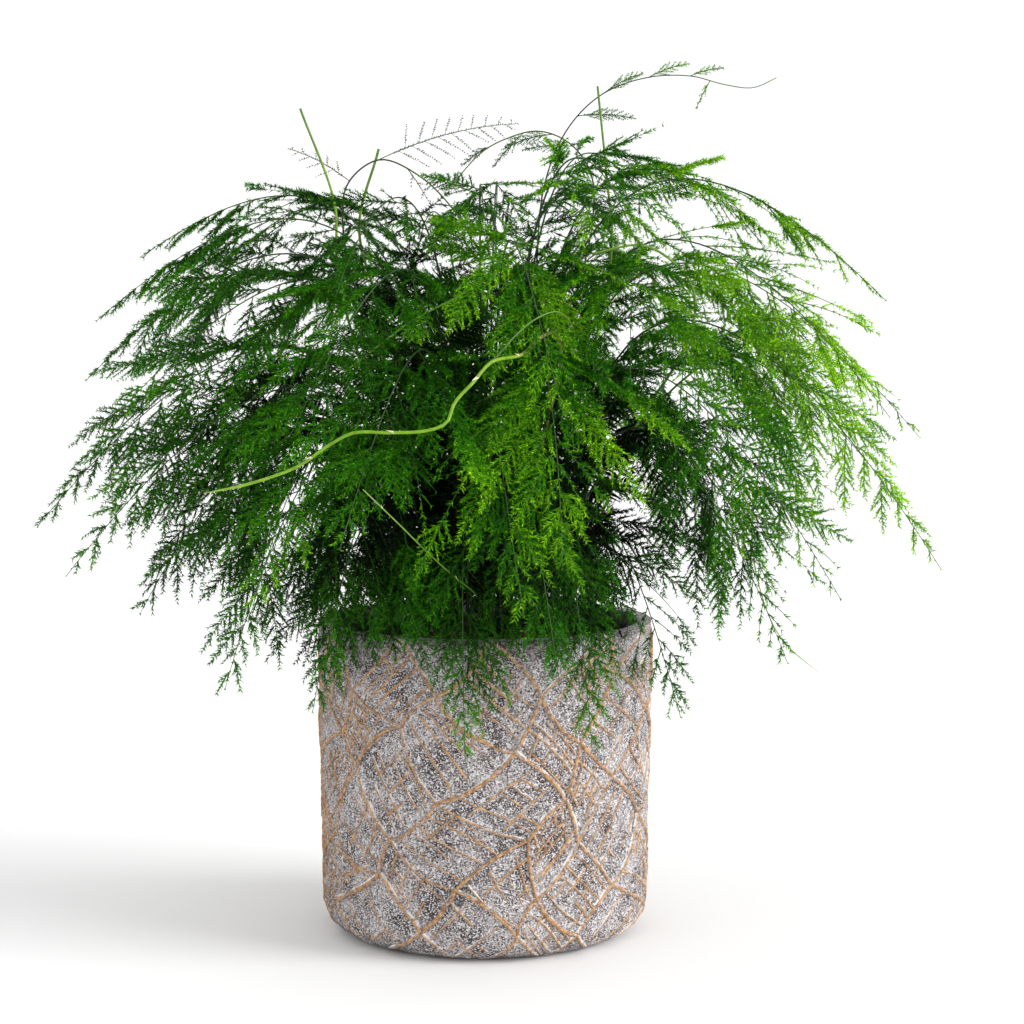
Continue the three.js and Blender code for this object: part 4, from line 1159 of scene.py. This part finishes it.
def make_light():
    """Soft studio light from the upper right, in a white surround."""
    scene = bpy.context.scene
    scene.world = bpy.data.worlds.new("white_surround")
    scene.world.use_nodes = True
    tree = scene.world.node_tree
    seen = add_node(tree, "ShaderNodeLightPath", {})["Is Camera Ray"]
    strength = add_node(tree, "ShaderNodeMapRange",
                        {"Value": seen, "To Min": LIGHT["surround"], "To Max": LIGHT["backdrop"]})["Result"]
    surround = tree.nodes["Background"].inputs
    surround["Color"].default_value = (1, 1, 1, 1)
    tree.links.new(strength, surround["Strength"])
    sun = bpy.data.lights.new("key", "SUN")
    sun.energy = LIGHT["sun"]
    sun.angle = math.radians(LIGHT["softness"])
    linked("key", sun).rotation_euler = (math.radians(LIGHT["high"]), 0, math.radians(LIGHT["turn"]))
    scene.view_settings.view_transform = "Standard"


def frond_slot(tier, number):
    """A frond's colour: deep low down, bright on some at the front and right."""
    # Deep fronds low down are painted shade, and bright fronds at the front and right are painted light.
    if tier in ("low", "rim"):
        return "foliage_deep"
    return "foliage_bright" if number in BRIGHT_FRONDS[tier] else "foliage"


def hand_in(piece, node=None):
    """Attaches a piece to the root body, and hides the frame's node that it replaces, if any."""
    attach(piece, "root")
    if node:
        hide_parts(node)


def main():
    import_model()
    make_camera()
    groups = mottle_group(), grain_group()
    needles = needle_finish(groups)
    skins = {name: stem_finish(groups, f"{name}_stem", stops) for name, stops in STEM_SKINS.items()}
    _, bracts = mottled_finish(groups, "pale_bract", 0.7, 0.2, 400.0, 0.1, shade(196, 180, 132),
                               shade(236, 230, 204))
    for level, (tier, shape) in enumerate(TIERS.items()):
        for i, row in enumerate(shape["rows"]):
            node = f"frond_{tier}_{i + 1:02d}"
            slot = frond_slot(tier, i + 1)
            frond = Frond(shape, row, 11 * level + i)
            piece = make_frond(f"{node}_needles", frond, FOLIAGE_TONES[slot], [needles, skins["twig"]])
            hand_in(piece, node)
    for i, (node, lone) in enumerate(LONE_STEMS.items()):
        piece = make_lone_stem(f"{node}_detail", lone, 300 + i, [needles, skins[lone["skin"]], bracts])
        hand_in(piece, node)
    hand_in(make_young_shoots([needles, skins["young"], bracts]))
    hand_in(make_pot(cement_finish(groups)), "pot")
    hand_in(make_soil([soil_finish(groups), bark_finish(groups)]), "soil")
    make_floor(groups)
    make_light()
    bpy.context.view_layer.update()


main()
